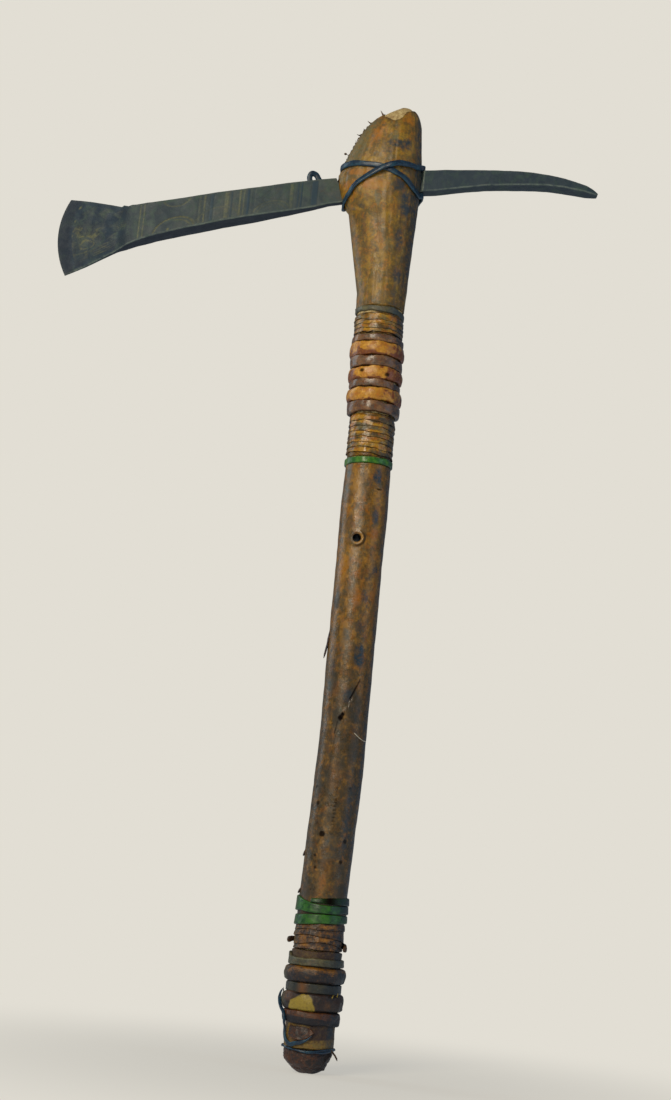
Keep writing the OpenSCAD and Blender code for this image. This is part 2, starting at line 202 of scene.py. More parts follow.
def grid_faces(rows, cols, close_rows, close_cols, start=0):
    """Quads of a rows x cols grid of points; a side that isn't closed round is capped if it can be."""
    i = np.arange(rows if close_rows else rows - 1)[:, None]
    j = np.arange(cols if close_cols else cols - 1)[None, :]
    def at(r, c):
        return start + (r % rows) * cols + c % cols
    quads = np.stack([at(i, j), at(i + 1, j), at(i + 1, j + 1), at(i, j + 1)], axis=-1).reshape(-1, 4)
    faces = quads.tolist()
    if close_cols and not close_rows:
        faces.append([start + c for c in range(cols)])
        faces.append([start + (rows - 1) * cols + c for c in reversed(range(cols))])
    return faces


class Build:
    """Collects grids of points, each a closed skin, into one piece."""

    def __init__(self):
        self.verts, self.faces, self.values, self.count = [], [], {}, 0

    def add(self, grid, close_rows, values=None):
        rows, cols = grid.shape[:2]
        self.faces += grid_faces(rows, cols, close_rows, True, self.count)
        self.verts.append(grid.reshape(-1, 3))
        for key in set(self.values) | set(values or {}):
            given = (values or {}).get(key, 0.0)
            column = np.broadcast_to(np.asarray(given, float), (rows, cols)).reshape(-1)
            old = self.values.get(key, np.zeros(self.count))
            self.values[key] = np.concatenate([old, column])
        self.count += rows * cols
        return self

    def piece(self, name, material, replaces=()):
        return make_piece(name, np.vstack(self.verts), self.faces, material, replaces, self.values)


# ---- bands, strips and straps ------------------------------------------------------------------------

def edge_round(across, width, ease):
    """Section of a strap's outer face: 1 in the middle, rounding down to 0 at both edges."""
    t = np.clip(np.minimum(across, 1 - across) * width / ease, 0, 1)
    return np.sqrt(1 - (1 - t) ** 2)


def across_steps(rows, ease_share):
    """Fractions from 0 to 1, closer together at both edges."""
    t = np.linspace(0, 1, rows)
    return t - ease_share * np.sin(TURN * t) / TURN


def wrap(a, z_low, z_high, base, height, rows=18, ease=0.8, crown=0.0, bumps=0.12, bump_size=5.0, seed=1,
         tilt=0.0, bulges=(), relief=None):
    """A strap round the haft: a is its angles, z_low and z_high its edges (one value per angle).
    Each bulge is (angle, height, angular reach, height reach, amount), and relief(a, z) adds its own offset.
    Returns the grid of its closed section and the across value of each point."""
    a = np.asarray(a, float)[:, None]
    z_low = np.broadcast_to(z_low, a.shape[0])[:, None]
    z_high = np.broadcast_to(z_high, a.shape[0])[:, None]
    base = np.broadcast_to(base, a.shape[0])[:, None]
    across = across_steps(rows, 0.7)[None, :]
    width = z_high - z_low
    z = z_low + width * across
    lumps = bumps * fractal(on_haft(a, z, base + height), bump_size, seed)
    lumps += crown * np.sin(math.pi * across)
    for angle, level, angle_reach, level_reach, amount in bulges:
        lumps += amount * around(a, angle, angle_reach) * near(z, level, level_reach)
    if relief is not None:
        lumps = lumps + relief(np.broadcast_to(a, z.shape), z)
    off = base + tilt * (0.5 - across) + (height + lumps) * edge_round(across, width, ease)
    outer = on_haft(a, z, off)
    inner_across = np.array([0.97, 0.5, 0.03])[None, :]
    inner = on_haft(a, z_low + width * inner_across, base + tilt * (0.5 - inner_across) - 0.02)
    grid = np.concatenate([outer, inner], axis=1)
    across_all = np.concatenate([np.broadcast_to(across, z.shape), np.broadcast_to(inner_across, inner.shape[:2])], axis=1)
    return grid, across_all


def full_turn(cols):
    return np.linspace(0, TURN, cols, endpoint=False)


def wavy(a, amount, seed, size=6.0, drift=0.0):
    """A wavering value along the angles a. It closes after a turn, unless it drifts."""
    loop = np.stack([np.cos(a), np.sin(a), a * drift], axis=-1) * 14
    return amount * fractal(loop, size, seed, 3)


def ring(name, z_low, z_high, base, height, material, cols=220, wander=0.25, seed=1, slant=0.0, paint=None,
         **shape):
    """A whole band that stands for the CAD node of the same name. slant raises its blade side.
    paint(a, z, across) gives the values that its material reads at each point."""
    a = full_turn(cols)
    lean = -slant / 2 * np.cos(a)
    low = z_low + wavy(a, wander, seed) + lean
    high = z_high + wavy(a, wander, seed + 50) + lean
    grid, across = wrap(a, low, high, base, height, seed=seed, **shape)
    around_all = np.broadcast_to(a[:, None], across.shape)
    # blue: painted shade on the pick side
    values = {"blue": side_shade(around_all)}
    if paint is not None:
        values.update(paint(around_all, grid[..., 2], across))
    return Build().add(grid, True, values).piece(name + "_looks", material, [name])


def spiral(build, start, turns, z_start, drop, width, base, height, seed, cols_per_turn=180, wander=0.18,
           taper=0.0, paint=None, **shape):
    """Adds a strip wound from angle start, losing drop millimetres each turn, its ends cut or tapered."""
    a = start + np.linspace(0, TURN * turns, int(cols_per_turn * turns))
    along = np.linspace(0, 1, len(a))
    middle = z_start - drop * (a - start) / TURN
    half = width / 2 * (1 - taper * np.clip(np.abs(along * 2 - 1) * 8 - 7, 0, 1))
    low = middle - half + wavy(a, wander, seed, drift=0.3)
    high = middle + half + wavy(a, wander, seed + 50, drift=0.3)
    grid, across = wrap(a, low, high, base, height, seed=seed, **shape)
    around_all = np.broadcast_to(a[:, None], across.shape)
    # blue: painted shade on the pick side
    values = {"blue": side_shade(around_all)}
    if paint is not None:
        values.update(paint(around_all, grid[..., 2], across))
    return build.add(grid, False, values)


def strap(path, normals, width, thick, rows=14):
    """A rounded flat strap swept along path, its broad face along the normals. Returns the grid of its sections."""
    path, normals = np.asarray(path, float), np.asarray(normals, float)
    width = np.broadcast_to(width, len(path))[:, None]
    thick = np.broadcast_to(thick, len(path))[:, None]
    tangent = np.gradient(path, axis=0)
    tangent /= np.linalg.norm(tangent, axis=1, keepdims=True)
    side = np.cross(tangent, normals)
    side /= np.linalg.norm(side, axis=1, keepdims=True)
    out = np.cross(side, tangent)
    t = np.linspace(0, TURN, rows, endpoint=False)
    u = np.sign(np.cos(t)) * np.abs(np.cos(t)) ** 0.55
    v = np.sign(np.sin(t)) * np.abs(np.sin(t)) ** 0.8
    grid = (path[:, None, :] + side[:, None, :] * (u[None, :, None] * width[:, :, None] / 2)
            + out[:, None, :] * (v[None, :, None] * thick[:, :, None] / 2))
    return grid, np.broadcast_to((u[None, :] + 1) / 2, grid.shape[:2])


def resample(points, count):
    """Points spaced evenly along a smooth curve through the given ones."""
    points = np.asarray(points, float)
    step = np.concatenate([[0], np.cumsum(np.linalg.norm(np.diff(points, axis=0), axis=1))])
    curve = Curve(np.column_stack([step, points]))
    s = np.linspace(0, step[-1], count)
    return np.stack([curve(s, k) for k in range(points.shape[1])], axis=-1)


# ---- materials -------------------------------------------------------------------------------------------

def rgb(r, g, b):
    """A display colour of 0 to 255 as linear light, with alpha."""
    def linear(c):
        c /= 255
        return c / 12.92 if c <= 0.04045 else ((c + 0.055) / 1.055) ** 2.4
    return (linear(r), linear(g), linear(b), 1.0)


class Shader:
    """Builds a node material: each call adds a node and returns its output."""

    def __init__(self, name, slot):
        self.material = bpy.data.materials.new(name)
        self.material["slot"] = slot
        self.material.use_nodes = True
        self.nodes = self.material.node_tree.nodes
        self.links = self.material.node_tree.links
        self.nodes.clear()
        self.surface = self.node("ShaderNodeBsdfPrincipled")
        output = self.node("ShaderNodeOutputMaterial")
        self.links.new(self.surface.outputs["BSDF"], output.inputs["Surface"])
        place = self.node("ShaderNodeTexCoord")
        scale = self.node("ShaderNodeMapping")
        scale.inputs["Scale"].default_value = (1 / MM,) * 3
        self.links.new(place.outputs["Object"], scale.inputs["Vector"])
        self.mm = scale.outputs["Vector"]

    def node(self, kind, **settings):
        node = self.nodes.new(kind)
        for key, value in settings.items():
            setattr(node, key, value)
        return node

    def feed(self, socket, value):
        if isinstance(value, bpy.types.NodeSocket):
            self.links.new(value, socket)
        else:
            socket.default_value = value

    def noise(self, size, detail=4.0, rough=0.55, distort=0.0, stretch=(1, 1, 1), move=0.0):
        """Noise in 0..1 whose features measure about size millimetres, longer along a stretched axis."""
        place = self.node("ShaderNodeMapping")
        place.inputs["Scale"].default_value = [1 / (size * s) for s in stretch]
        place.inputs["Location"].default_value = (move, move * 0.7, move * 1.3)
        self.links.new(self.mm, place.inputs["Vector"])
        noise = self.node("ShaderNodeTexNoise")
        self.links.new(place.outputs["Vector"], noise.inputs["Vector"])
        noise.inputs["Scale"].default_value = 1.0
        noise.inputs["Detail"].default_value = detail
        noise.inputs["Roughness"].default_value = rough
        noise.inputs["Distortion"].default_value = distort
        return noise.outputs["Fac"]

    def cells(self, size, move=0.0):
        """Distance to the nearest of scattered points about size millimetres apart."""
        place = self.node("ShaderNodeMapping")
        place.inputs["Scale"].default_value = (1 / size,) * 3
        place.inputs["Location"].default_value = (move, move, move)
        self.links.new(self.mm, place.inputs["Vector"])
        cells = self.node("ShaderNodeTexVoronoi")
        self.links.new(place.outputs["Vector"], cells.inputs["Vector"])
        cells.inputs["Scale"].default_value = 1.0
        return cells.outputs["Distance"]

    def attribute(self, name):
        return self.node("ShaderNodeAttribute", attribute_name=name).outputs["Fac"]

    def ramp(self, value, *stops):
        """Colours or grey levels at positions along value."""
        ramp = self.node("ShaderNodeValToRGB")
        elements = ramp.color_ramp.elements
        while len(elements) < len(stops):
            elements.new(0.5)
        for element, (position, colour) in zip(elements, sorted(stops, key=lambda s: s[0])):
            element.position = position
            element.color = colour if isinstance(colour, tuple) else (colour, colour, colour, 1)
        self.feed(ramp.inputs["Fac"], value)
        return ramp.outputs["Color"]

    def math(self, operation, a, b=0.0, c=0.0):
        node = self.node("ShaderNodeMath", operation=operation)
        for socket, value in zip(node.inputs, (a, b, c)):
            self.feed(socket, value)
        return node.outputs["Value"]

    def mix(self, amount, a, b, blend="MIX"):
        node = self.node("ShaderNodeMix", data_type="RGBA", blend_type=blend)
        colours = [s for s in node.inputs if s.type == "RGBA"]
        self.feed(node.inputs["Factor"], amount)
        self.feed(colours[0], a)
        self.feed(colours[1], b)
        return [s for s in node.outputs if s.type == "RGBA"][0]

    def bump(self, height, depth, normal=None):
        """Relief of depth millimetres where height runs from 0 to 1."""
        node = self.node("ShaderNodeBump")
        node.inputs["Strength"].default_value = 1.0
        node.inputs["Distance"].default_value = depth * MM
        self.feed(node.inputs["Height"], height)
        if normal is not None:
            self.feed(node.inputs["Normal"], normal)
        return node.outputs["Normal"]

    def finish(self, colour, roughness, normal=None, **inputs):
        self.feed(self.surface.inputs["Base Color"], colour)
        self.feed(self.surface.inputs["Roughness"], roughness)
        if normal is not None:
            self.feed(self.surface.inputs["Normal"], normal)
        for key, value in inputs.items():
            self.feed(self.surface.inputs[key.replace("_", " ")], value)
        return self.material


def hide_material(name, slot, tones, stain, stain_share=0.5, patch=9.0, gloss=0.38, speck=0.5, grain=0.10,
                  stretch=(1, 1, 1), move=0.0, warm=None, cool=None, extra=None, aged=(1.0, 0.95, 0.62, 1.0)):
    """Hide: drifting tones (pale, mid, deep), warm and cool patches, ragged stains, dark specks, pores and creases."""
    s = Shader(name, slot)
    pale, mid, deep = tones
    tone = s.noise(patch, 6, 0.68, 0.25, stretch, move)
    colour = s.ramp(tone, (0.35, deep), (0.48, mid), (0.62, pale))
    if warm:
        colour = s.mix(s.ramp(s.noise(patch * 0.6, 6, 0.7, 0.3, stretch, move + 51), (0.5, 0.0), (0.62, 0.8)), colour, warm)
    if cool:
        colour = s.mix(s.ramp(s.noise(patch * 0.5, 6, 0.72, 0.3, stretch, move + 61), (0.5, 0.0), (0.63, 0.75)), colour, cool)
    small = s.noise(patch * 0.25, 5, 0.7, 0.2, stretch, move + 11)
    colour = s.mix(s.ramp(small, (0.44, 0.0), (0.68, 0.7)), colour, deep)
    # Small pale flecks: painted glints
    glint = s.noise(patch * 0.2, 4, 0.7, 0.0, (1, 1, 1), move + 19)
    colour = s.mix(s.ramp(glint, (0.56, 0.0), (0.72, 0.6)), colour, pale)
    broken = s.ramp(s.noise(2.6, 6, 0.75, 0.3, (1, 1, 1), move + 81), (0.38, 0.1), (0.54, 1.0))
    cloudy = s.ramp(s.noise(3.4, 6, 0.75, 0.2, (1, 1, 1), move + 41), (0.38, 0.2), (0.56, 1.0))
    colour = s.mix(s.math("MULTIPLY", s.attribute("warm"), cloudy), colour, warm or pale)
    colour = s.mix(s.math("MULTIPLY", s.attribute("worn"), broken), colour, pale)
    blot = s.noise(patch * 1.2, 7, 0.72, 0.35, stretch, move + 23)
    edge = 0.68 - 0.28 * stain_share
    stained = s.math("MAXIMUM", s.ramp(blot, (edge, 0.0), (edge + 0.12, 0.8)), s.attribute("stain"))
    ragged = s.math("MULTIPLY", stained, s.ramp(s.noise(1.8, 5, 0.75, 0, (1, 1, 1), move), (0.32, 0.55), (0.56, 1.0)))
    colour = s.mix(ragged, colour, stain)
    for attribute, shade in (extra or {}).items():
        uneven = s.ramp(s.noise(1.6, 5, 0.7, 0, (1, 1, 1), move + 91), (0.34, 0.6), (0.52, 1.0))
        colour = s.mix(s.math("MULTIPLY", s.attribute(attribute), uneven), colour, shade)
    # ash: grey patches and a painted rim sheen on the blade-side edge; dusk: painted shade; blue: the pick side's
    # painted shade, with blue-grey patches
    for attribute, shade in (("ash", rgb(106, 104, 86)), ("dusk", rgb(46, 42, 34)), ("blue", rgb(20, 46, 74))):
        colour = s.mix(s.math("MULTIPLY", s.attribute(attribute), cloudy), colour, shade)
    crisp = s.ramp(s.noise(1.2, 4, 0.7, 0, (1, 1, 1), move + 71), (0.36, 0.5), (0.5, 1.0))
    colour = s.mix(s.math("MULTIPLY", s.attribute("rust"), crisp), colour, rgb(104, 46, 20))
    dots = s.ramp(s.cells(2.6, move), (0.0, 1.0), (0.13, 0.0))
    rare = s.ramp(s.noise(6, 2, 0.5, 0, (1, 1, 1), move + 31), (0.5, 0.0), (0.62, 1.0))
    colour = s.mix(s.math("MULTIPLY", s.math("MULTIPLY", dots, rare), speck), colour, rgb(38, 24, 18))
    colour = s.mix(1.0, colour, aged, "MULTIPLY")
    dark = s.attribute("dark")
    colour = s.mix(dark, colour, rgb(18, 13, 12))
    rough = s.math("ADD", s.ramp(s.noise(3.2, 4, 0.6, 0, (1, 1, 1), move + 7), (0.3, gloss - 0.1), (0.7, gloss + 0.16)),
                   s.math("MULTIPLY", stained, 0.06))
    creases = s.noise(1.1, 5, 0.65, 0.4, stretch, move + 3)
    pores = s.ramp(s.cells(0.8, move + 5), (0.0, 0.0), (0.35, 1.0))
    relief = s.math("ADD", creases, s.math("MULTIPLY", pores, 0.25))
    shine = s.math("MULTIPLY", s.math("SUBTRACT", 1.0, dark), 0.5)
    return s.finish(colour, rough, s.bump(relief, grain), Specular_IOR_Level=shine)


M = {
    "grip": hide_material(
        "hide_tan", "tan_hide", (rgb(160, 116, 42), rgb(116, 84, 32), rgb(76, 58, 30)), rgb(46, 44, 42),
        0.42, 7.0, 0.30, 0.9, 0.14, (1, 1, 1.2), 0, rgb(150, 92, 20), rgb(70, 70, 58)),
    "head": hide_material(
        "hide_tan_head", "tan_hide", (rgb(164, 128, 36), rgb(122, 92, 32), rgb(84, 68, 32)), rgb(54, 56, 50),
        0.42, 7.0, 0.42, 0.7, 0.16, (1, 1, 1), 40, rgb(166, 106, 18), rgb(82, 82, 62)),
    "tan_strip": hide_material(
        "hide_strip_tan", "tan_strip", (rgb(186, 140, 42), rgb(138, 100, 30), rgb(76, 60, 30)), rgb(50, 48, 38),
        0.42, 4.5, 0.24, 0.5, 0.10, (1, 1, 0.7), 3, rgb(158, 94, 26), rgb(90, 88, 66)),
    "dark": hide_material(
        "hide_dark", "dark_hide", (rgb(146, 108, 82), rgb(112, 82, 66), rgb(84, 62, 62)), rgb(66, 60, 72),
        0.4, 6.0, 0.24, 0.2, 0.06, (1, 1, 0.6), 5, rgb(118, 68, 38), rgb(88, 86, 88)),
    "pale": hide_material(
        "hide_pale", "pale_hide", (rgb(214, 162, 68), rgb(188, 134, 46), rgb(152, 98, 34)), rgb(112, 60, 28),
        0.25, 5.0, 0.32, 1.0, 0.10, (1, 1, 0.8), 7, rgb(182, 108, 34)),
    "green": hide_material(
        "hide_green", "green_hide", (rgb(84, 140, 36), rgb(48, 110, 36), rgb(26, 74, 38)), rgb(22, 60, 50),
        0.3, 5.0, 0.28, 0.1, 0.06, (1, 1, 1), 9),
    "green_deep": hide_material(
        "hide_green_deep", "green_hide", (rgb(56, 112, 40), rgb(30, 78, 36), rgb(16, 52, 32)), rgb(16, 46, 46),
        0.35, 5.0, 0.32, 0.1, 0.06, (1, 1, 1), 13),
    "grey": hide_material(
        "hide_grey", "grey_hide", (rgb(108, 102, 80), rgb(76, 74, 66), rgb(54, 54, 54)), rgb(42, 46, 54),
        0.45, 4.0, 0.42, 0.2, 0.12, (1, 1, 0.7), 15, rgb(92, 72, 46), rgb(72, 88, 84)),
    "thong": hide_material(
        "hide_blue_black", "blue_black_hide", (rgb(32, 72, 88), rgb(15, 44, 66), rgb(9, 26, 44)), rgb(9, 18, 28),
        0.35, 4.0, 0.34, 0.0, 0.08, (1, 1, 1), 17, aged=(1.0, 1.0, 1.0, 1.0)),
    "worn": hide_material(
        "hide_worn", "dark_hide", (rgb(146, 98, 28), rgb(58, 41, 25), rgb(19, 17, 24)), rgb(16, 17, 34),
        0.55, 3.0, 0.44, 0.8, 0.18, (1, 1, 0.7), 19, rgb(112, 64, 18), rgb(40, 44, 46)),
    "umber": hide_material(
        "hide_umber", "dark_hide", (rgb(94, 54, 26), rgb(38, 23, 20), rgb(17, 12, 18)), rgb(14, 12, 26),
        0.5, 3.2, 0.44, 0.8, 0.18, (1, 1, 0.8), 23, rgb(86, 44, 18), rgb(34, 32, 34)),
    "patched": hide_material(
        "hide_patched", "pale_hide", (rgb(90, 57, 28), rgb(50, 34, 25), rgb(28, 22, 23)), rgb(24, 20, 28),
        0.45, 4.0, 0.44, 0.6, 0.16, (1, 1, 1), 27, rgb(92, 48, 20), rgb(42, 42, 48),
        {"cream": rgb(152, 132, 52)}),
    "grey_tan": hide_material(
        "hide_grey_tan", "grey_hide", (rgb(66, 62, 52), rgb(42, 42, 42), rgb(26, 29, 36)), rgb(14, 22, 36),
        0.4, 5.0, 0.42, 0.2, 0.12, (1, 1, 1), 29, None, rgb(50, 58, 66), {"tan": rgb(104, 66, 32)}),
    "cream": hide_material(
        "hide_cream", "pale_hide", (rgb(148, 120, 46), rgb(110, 86, 34), rgb(68, 48, 27)), rgb(46, 26, 27),
        0.35, 4.0, 0.55, 0.6, 0.16, (1, 1, 1), 21, rgb(108, 66, 32), rgb(84, 78, 62)),
    "sinew": hide_material(
        "sinew", "sinew", (rgb(104, 74, 42), rgb(76, 54, 34), rgb(50, 38, 28)), rgb(34, 28, 26),
        0.4, 2.0, 0.5, 0.0, 0.05, (1, 1, 1), 25),
    "fibre": hide_material(
        "fibre_pale", "sinew", (rgb(214, 204, 184), rgb(192, 180, 158), rgb(160, 148, 128)), rgb(120, 108, 90),
        0.2, 2.0, 0.5, 0.0, 0.05, (1, 1, 1), 31, aged=(1.0, 1.0, 1.0, 1.0)),
}


def wood_material():
    """Dry bare wood: long grain, checks and a little grime."""
    s = Shader("bare_wood", "bare_wood")
    grain = s.noise(1.6, 5, 0.6, 0.8, (1, 1, 14))
    colour = s.ramp(grain, (0.34, rgb(150, 120, 74)), (0.5, rgb(190, 164, 108)), (0.66, rgb(212, 190, 134)))
    grime = s.ramp(s.noise(7, 5, 0.65, 0.6), (0.52, 0.0), (0.66, 0.7))
    colour = s.mix(grime, colour, rgb(128, 90, 48))
    # The wood in and round the lanyard hole is made near-black: painted shade in the deep bore, and handling grease
    place = s.node("ShaderNodeSeparateXYZ")
    s.feed(place.inputs["Vector"], s.mm)
    across = s.math("SUBTRACT", place.outputs["X"], HOLE_X)
    along = s.math("SUBTRACT", place.outputs["Z"], HOLE_Z)
    away = s.math("SQRT", s.math("ADD", s.math("MULTIPLY", across, across), s.math("MULTIPLY", along, along)))
    colour = s.mix(s.ramp(s.math("DIVIDE", away, 10.0), (0.34, 1.0), (0.44, 0.0)), colour, rgb(16, 11, 8))
    relief = s.math("ADD", grain, s.math("MULTIPLY", s.noise(0.7, 3, 0.6), 0.3))
    return s.finish(colour, s.ramp(grain, (0.3, 0.75), (0.7, 0.58)), s.bump(relief, 0.2))


def iron_material():
    """Blued and aged forged iron: slate on the bar, navy on the blade, faint olive ornament, worn arrises."""
    s = Shader("aged_iron", "iron")
    cloud = s.noise(13, 6, 0.62, 0.8)
    colour = s.ramp(cloud, (0.34, rgb(58, 70, 72)), (0.5, rgb(72, 82, 80)), (0.66, rgb(84, 88, 82)))
    colour = s.mix(s.attribute("navy"), colour, s.ramp(cloud, (0.36, rgb(9, 31, 52)), (0.64, rgb(22, 48, 64))))
    fine = s.ramp(s.noise(1.7, 5, 0.7, 0.4, (1, 1, 1), 15), (0.38, 0.0), (0.68, 0.4))
    colour = s.mix(fine, colour, rgb(50, 62, 70))
    rust = s.ramp(s.noise(5, 6, 0.7, 0.5, (1, 1, 1), 9), (0.55, 0.0), (0.72, 0.5))
    colour = s.mix(s.math("MULTIPLY", rust, s.math("SUBTRACT", 1.0, s.attribute("navy"))), colour, rgb(78, 66, 58))
    tint = s.ramp(s.noise(8, 5, 0.66, 0.8, (1, 1, 1), 27), (0.5, 0.0), (0.68, 0.5))
    colour = s.mix(tint, colour, rgb(66, 88, 70))
    gilt = s.math("MULTIPLY", s.attribute("gilt"), s.ramp(s.noise(1.8, 5, 0.7, 0, (1, 1, 1), 3), (0.34, 0.1), (0.62, 1.0)))
    colour = s.mix(gilt, colour, rgb(124, 122, 76))
    colour = s.mix(s.attribute("teal"), colour, rgb(40, 62, 76))
    colour = s.mix(s.math("MULTIPLY", s.attribute("cut"), 0.6), colour, rgb(36, 44, 48))
    rub = s.math("MULTIPLY", s.attribute("arris"), s.ramp(s.noise(4, 5, 0.7, 0, (1, 1, 1), 5), (0.34, 0.25), (0.6, 1.0)))
    colour = s.mix(rub, colour, rgb(136, 146, 132))
    # under: painted shade on the underside
    colour = s.mix(s.attribute("under"), colour, rgb(9, 25, 42))
    rough = s.ramp(s.noise(6, 5, 0.66), (0.3, 0.5), (0.7, 0.68))
    pits = s.ramp(s.cells(1.6), (0.0, 0.0), (0.4, 1.0))
    relief = s.math("ADD", s.noise(2.4, 6, 0.7), s.math("MULTIPLY", pits, 0.25))
    return s.finish(colour, rough, s.bump(relief, 0.08), Metallic=0.15, Specular_IOR_Level=0.35)


M["wood"] = wood_material()
M["iron"] = iron_material()


# ---- wood -------------------------------------------------------------------------------------------------

def apply_boolean(piece, cutter, operation):
    """Cuts piece with cutter, keeping the result as its mesh, and removes the cutter."""
    modifier = piece.modifiers.new("cut", "BOOLEAN")
    modifier.operation, modifier.object, modifier.solver = operation, cutter, "EXACT"
    bpy.context.view_layer.update()
    shown = piece.evaluated_get(bpy.context.evaluated_depsgraph_get())
    cut = bpy.data.meshes.new_from_object(shown)
    piece.modifiers.clear()
    piece.data = cut
    bpy.data.objects.remove(cutter)


def cutter_box(low, high, matrix=None):
    corners = [Vector((x, y, z)) for x in (low[0], high[0]) for y in (low[1], high[1]) for z in (low[2], high[2])]
    faces = [(0, 1, 3, 2), (4, 6, 7, 5), (0, 4, 5, 1), (2, 3, 7, 6), (0, 2, 6, 4), (1, 5, 7, 3)]
    mesh = bpy.data.meshes.new("cutter")
    mesh.from_pydata([(matrix or Matrix.Identity(4)) @ c * MM for c in corners], [], faces)
    cutter = bpy.data.objects.new("cutter", mesh)
    bpy.context.scene.collection.objects.link(cutter)
    return cutter


def cutter_rod(centre, radius, half_length, sides=64):
    """A rod along Y."""
    ring = [(centre[0] + radius * math.cos(TURN * k / sides), centre[2] + radius * math.sin(TURN * k / sides))
            for k in range(sides)]
    verts = [(x * MM, y * MM, z * MM) for y in (-half_length, half_length) for x, z in ring]
    faces = [(k, sides + k, sides + (k + 1) % sides, (k + 1) % sides) for k in range(sides)]
    faces += [tuple(range(sides)), tuple(reversed(range(sides, 2 * sides)))]
    mesh = bpy.data.meshes.new("cutter")
    mesh.from_pydata(verts, [], faces)
    cutter = bpy.data.objects.new("cutter", mesh)
    bpy.context.scene.collection.objects.link(cutter)
    return cutter


IRON = BVHTree.FromPolygons([tuple(p) for p in node_points("iron_head")],
                            [tuple(f.vertices) for f in frame["nodes"]["iron_head"].data.polygons])
PLUG_LOW, PLUG_HIGH = node_box("slot_plug")


def iron_reach(origin, direction):
    """Where a line from origin first meets the CAD iron, or None."""
    return IRON.ray_cast(Vector(origin), Vector(direction))[0]


def iron_span(x):
    """The CAD iron's lowest and highest point at x."""
    return iron_reach((x, 0, 0), (0, 0, 1)).z, iron_reach((x, 0, 900), (0, 0, -1)).z


SEAT_XS = (-24.0, 14.0)
SEAT_LOW = [iron_span(x)[0] for x in SEAT_XS]
SEAT_HIGH = [iron_span(x)[1] for x in SEAT_XS]
SEAT_SLOPE = (SEAT_LOW[1] - SEAT_LOW[0]) / (SEAT_XS[1] - SEAT_XS[0])


# Rounded end of the haft, over the hide: (height, radius)
BUTT_ROUND = [(0.15, 4.4), (0.6, 5.9), (1.5, 7.5), (2.7, 9.2), (4.1, 10.9), (5.7, 12.4), (7.6, 13.5), (9.8, 14.1),
              (12.0, 14.35), (13.4, 14.15), (14.2, 13.8)]


def wood_skin():
    zs = np.concatenate([np.linspace(HAFT.x[0], 560, 260), np.linspace(560.5, CROWN_Z, 70)])
    a = full_turn(120)
    lumps = 0.12 * fractal(on_haft(a[None, :], zs[:, None]), 7, 3)
    lumps -= 0.5 * near(zs[:, None], CROWN_Z, 6)
    cap_z, cap_r = np.array(BUTT_ROUND).T
    room = np.interp(zs, cap_z, cap_r) - 1.7 - HAFT(HAFT.x[0], 3)
    lumps = np.where(zs[:, None] < 14, np.minimum(lumps, room[:, None]), lumps)
    grid = on_haft(a[None, :], zs[:, None], lumps)
    dome = [0.82, 0.55, 0.2]
    top = grid[-1]
    middle = top.mean(axis=0)
    extra = [middle + (top - middle) * d + np.array([0, 0, 0.8 * math.sqrt(1 - d * d)]) for d in dome]
    return np.concatenate([grid, np.stack(extra)])


def sloped_box(z_at_zero, half_width):
    """Everything above the seat line that crosses the axis at z_at_zero, within half_width of the middle."""
    matrix = Matrix.Translation((0, 0, z_at_zero)) @ Matrix.Rotation(-math.atan(SEAT_SLOPE), 4, "Y")
    return cutter_box((-90, -half_width, 0), (90, half_width, 120), matrix)


def wood():
    floor = SEAT_LOW[0] - SEAT_SLOPE * SEAT_XS[0]
    roof = SEAT_HIGH[0] - SEAT_SLOPE * SEAT_XS[0]
    half = PLUG_HIGH[1]
    core = Build().add(wood_skin(), False).piece("haft_wood", M["wood"], ["haft_core"])
    apply_boolean(core, sloped_box(floor - 0.1, half + 0.12), "DIFFERENCE")
    apply_boolean(core, cutter_rod((HOLE_X, 0, HOLE_Z), HOLE_R, 40), "DIFFERENCE")
    plug = Build().add(wood_skin(), False).piece("slot_plug_wood", M["wood"], ["slot_plug"])
    apply_boolean(plug, sloped_box(roof + 0.1, half), "INTERSECT")


wood()


# ---- iron head ------------------------------------------------------------------------------------------------

IRON_LOW, IRON_HIGH = node_box("iron_head")
FLARE_X = IRON_LOW[0] + 45
EDGE_BAND = 9.0


def line(distance, half_width):
    return smooth(1 - np.abs(distance) / half_width)


def zigzag(value, period):
    """A triangle wave from 0 to 1."""
    return np.abs((value / period) % 1 * 2 - 1)


# Upright bands on the bar: (from x, to x, faint gilding, blue-black)
BAR_BANDS = [(-157.4, -156.0, 0.55, 0), (-154.9, -153.5, 0.4, 0), (-120.2, -118.2, 0.25, 0), (-117.2, -115.6, 0.5, 0),
             (-113.2, -110.6, 0, 0.6), (-104.2, -101, 0.4, 0), (-100.3, -98.9, 0, 0.7), (-95.1, -93.4, 0.6, 0),
             (-92.6, -91.2, 0.4, 0), (-90.2, -88, 0, 0.8), (-86.2, -85.2, 0, 0.4), (-63.4, -60.6, 0.35, 0),
             (-58.6, -57.2, 0, 0.8), (-56.4, -55, 0, 0.8), (-49.6, -45.4, 0, 0.75)]


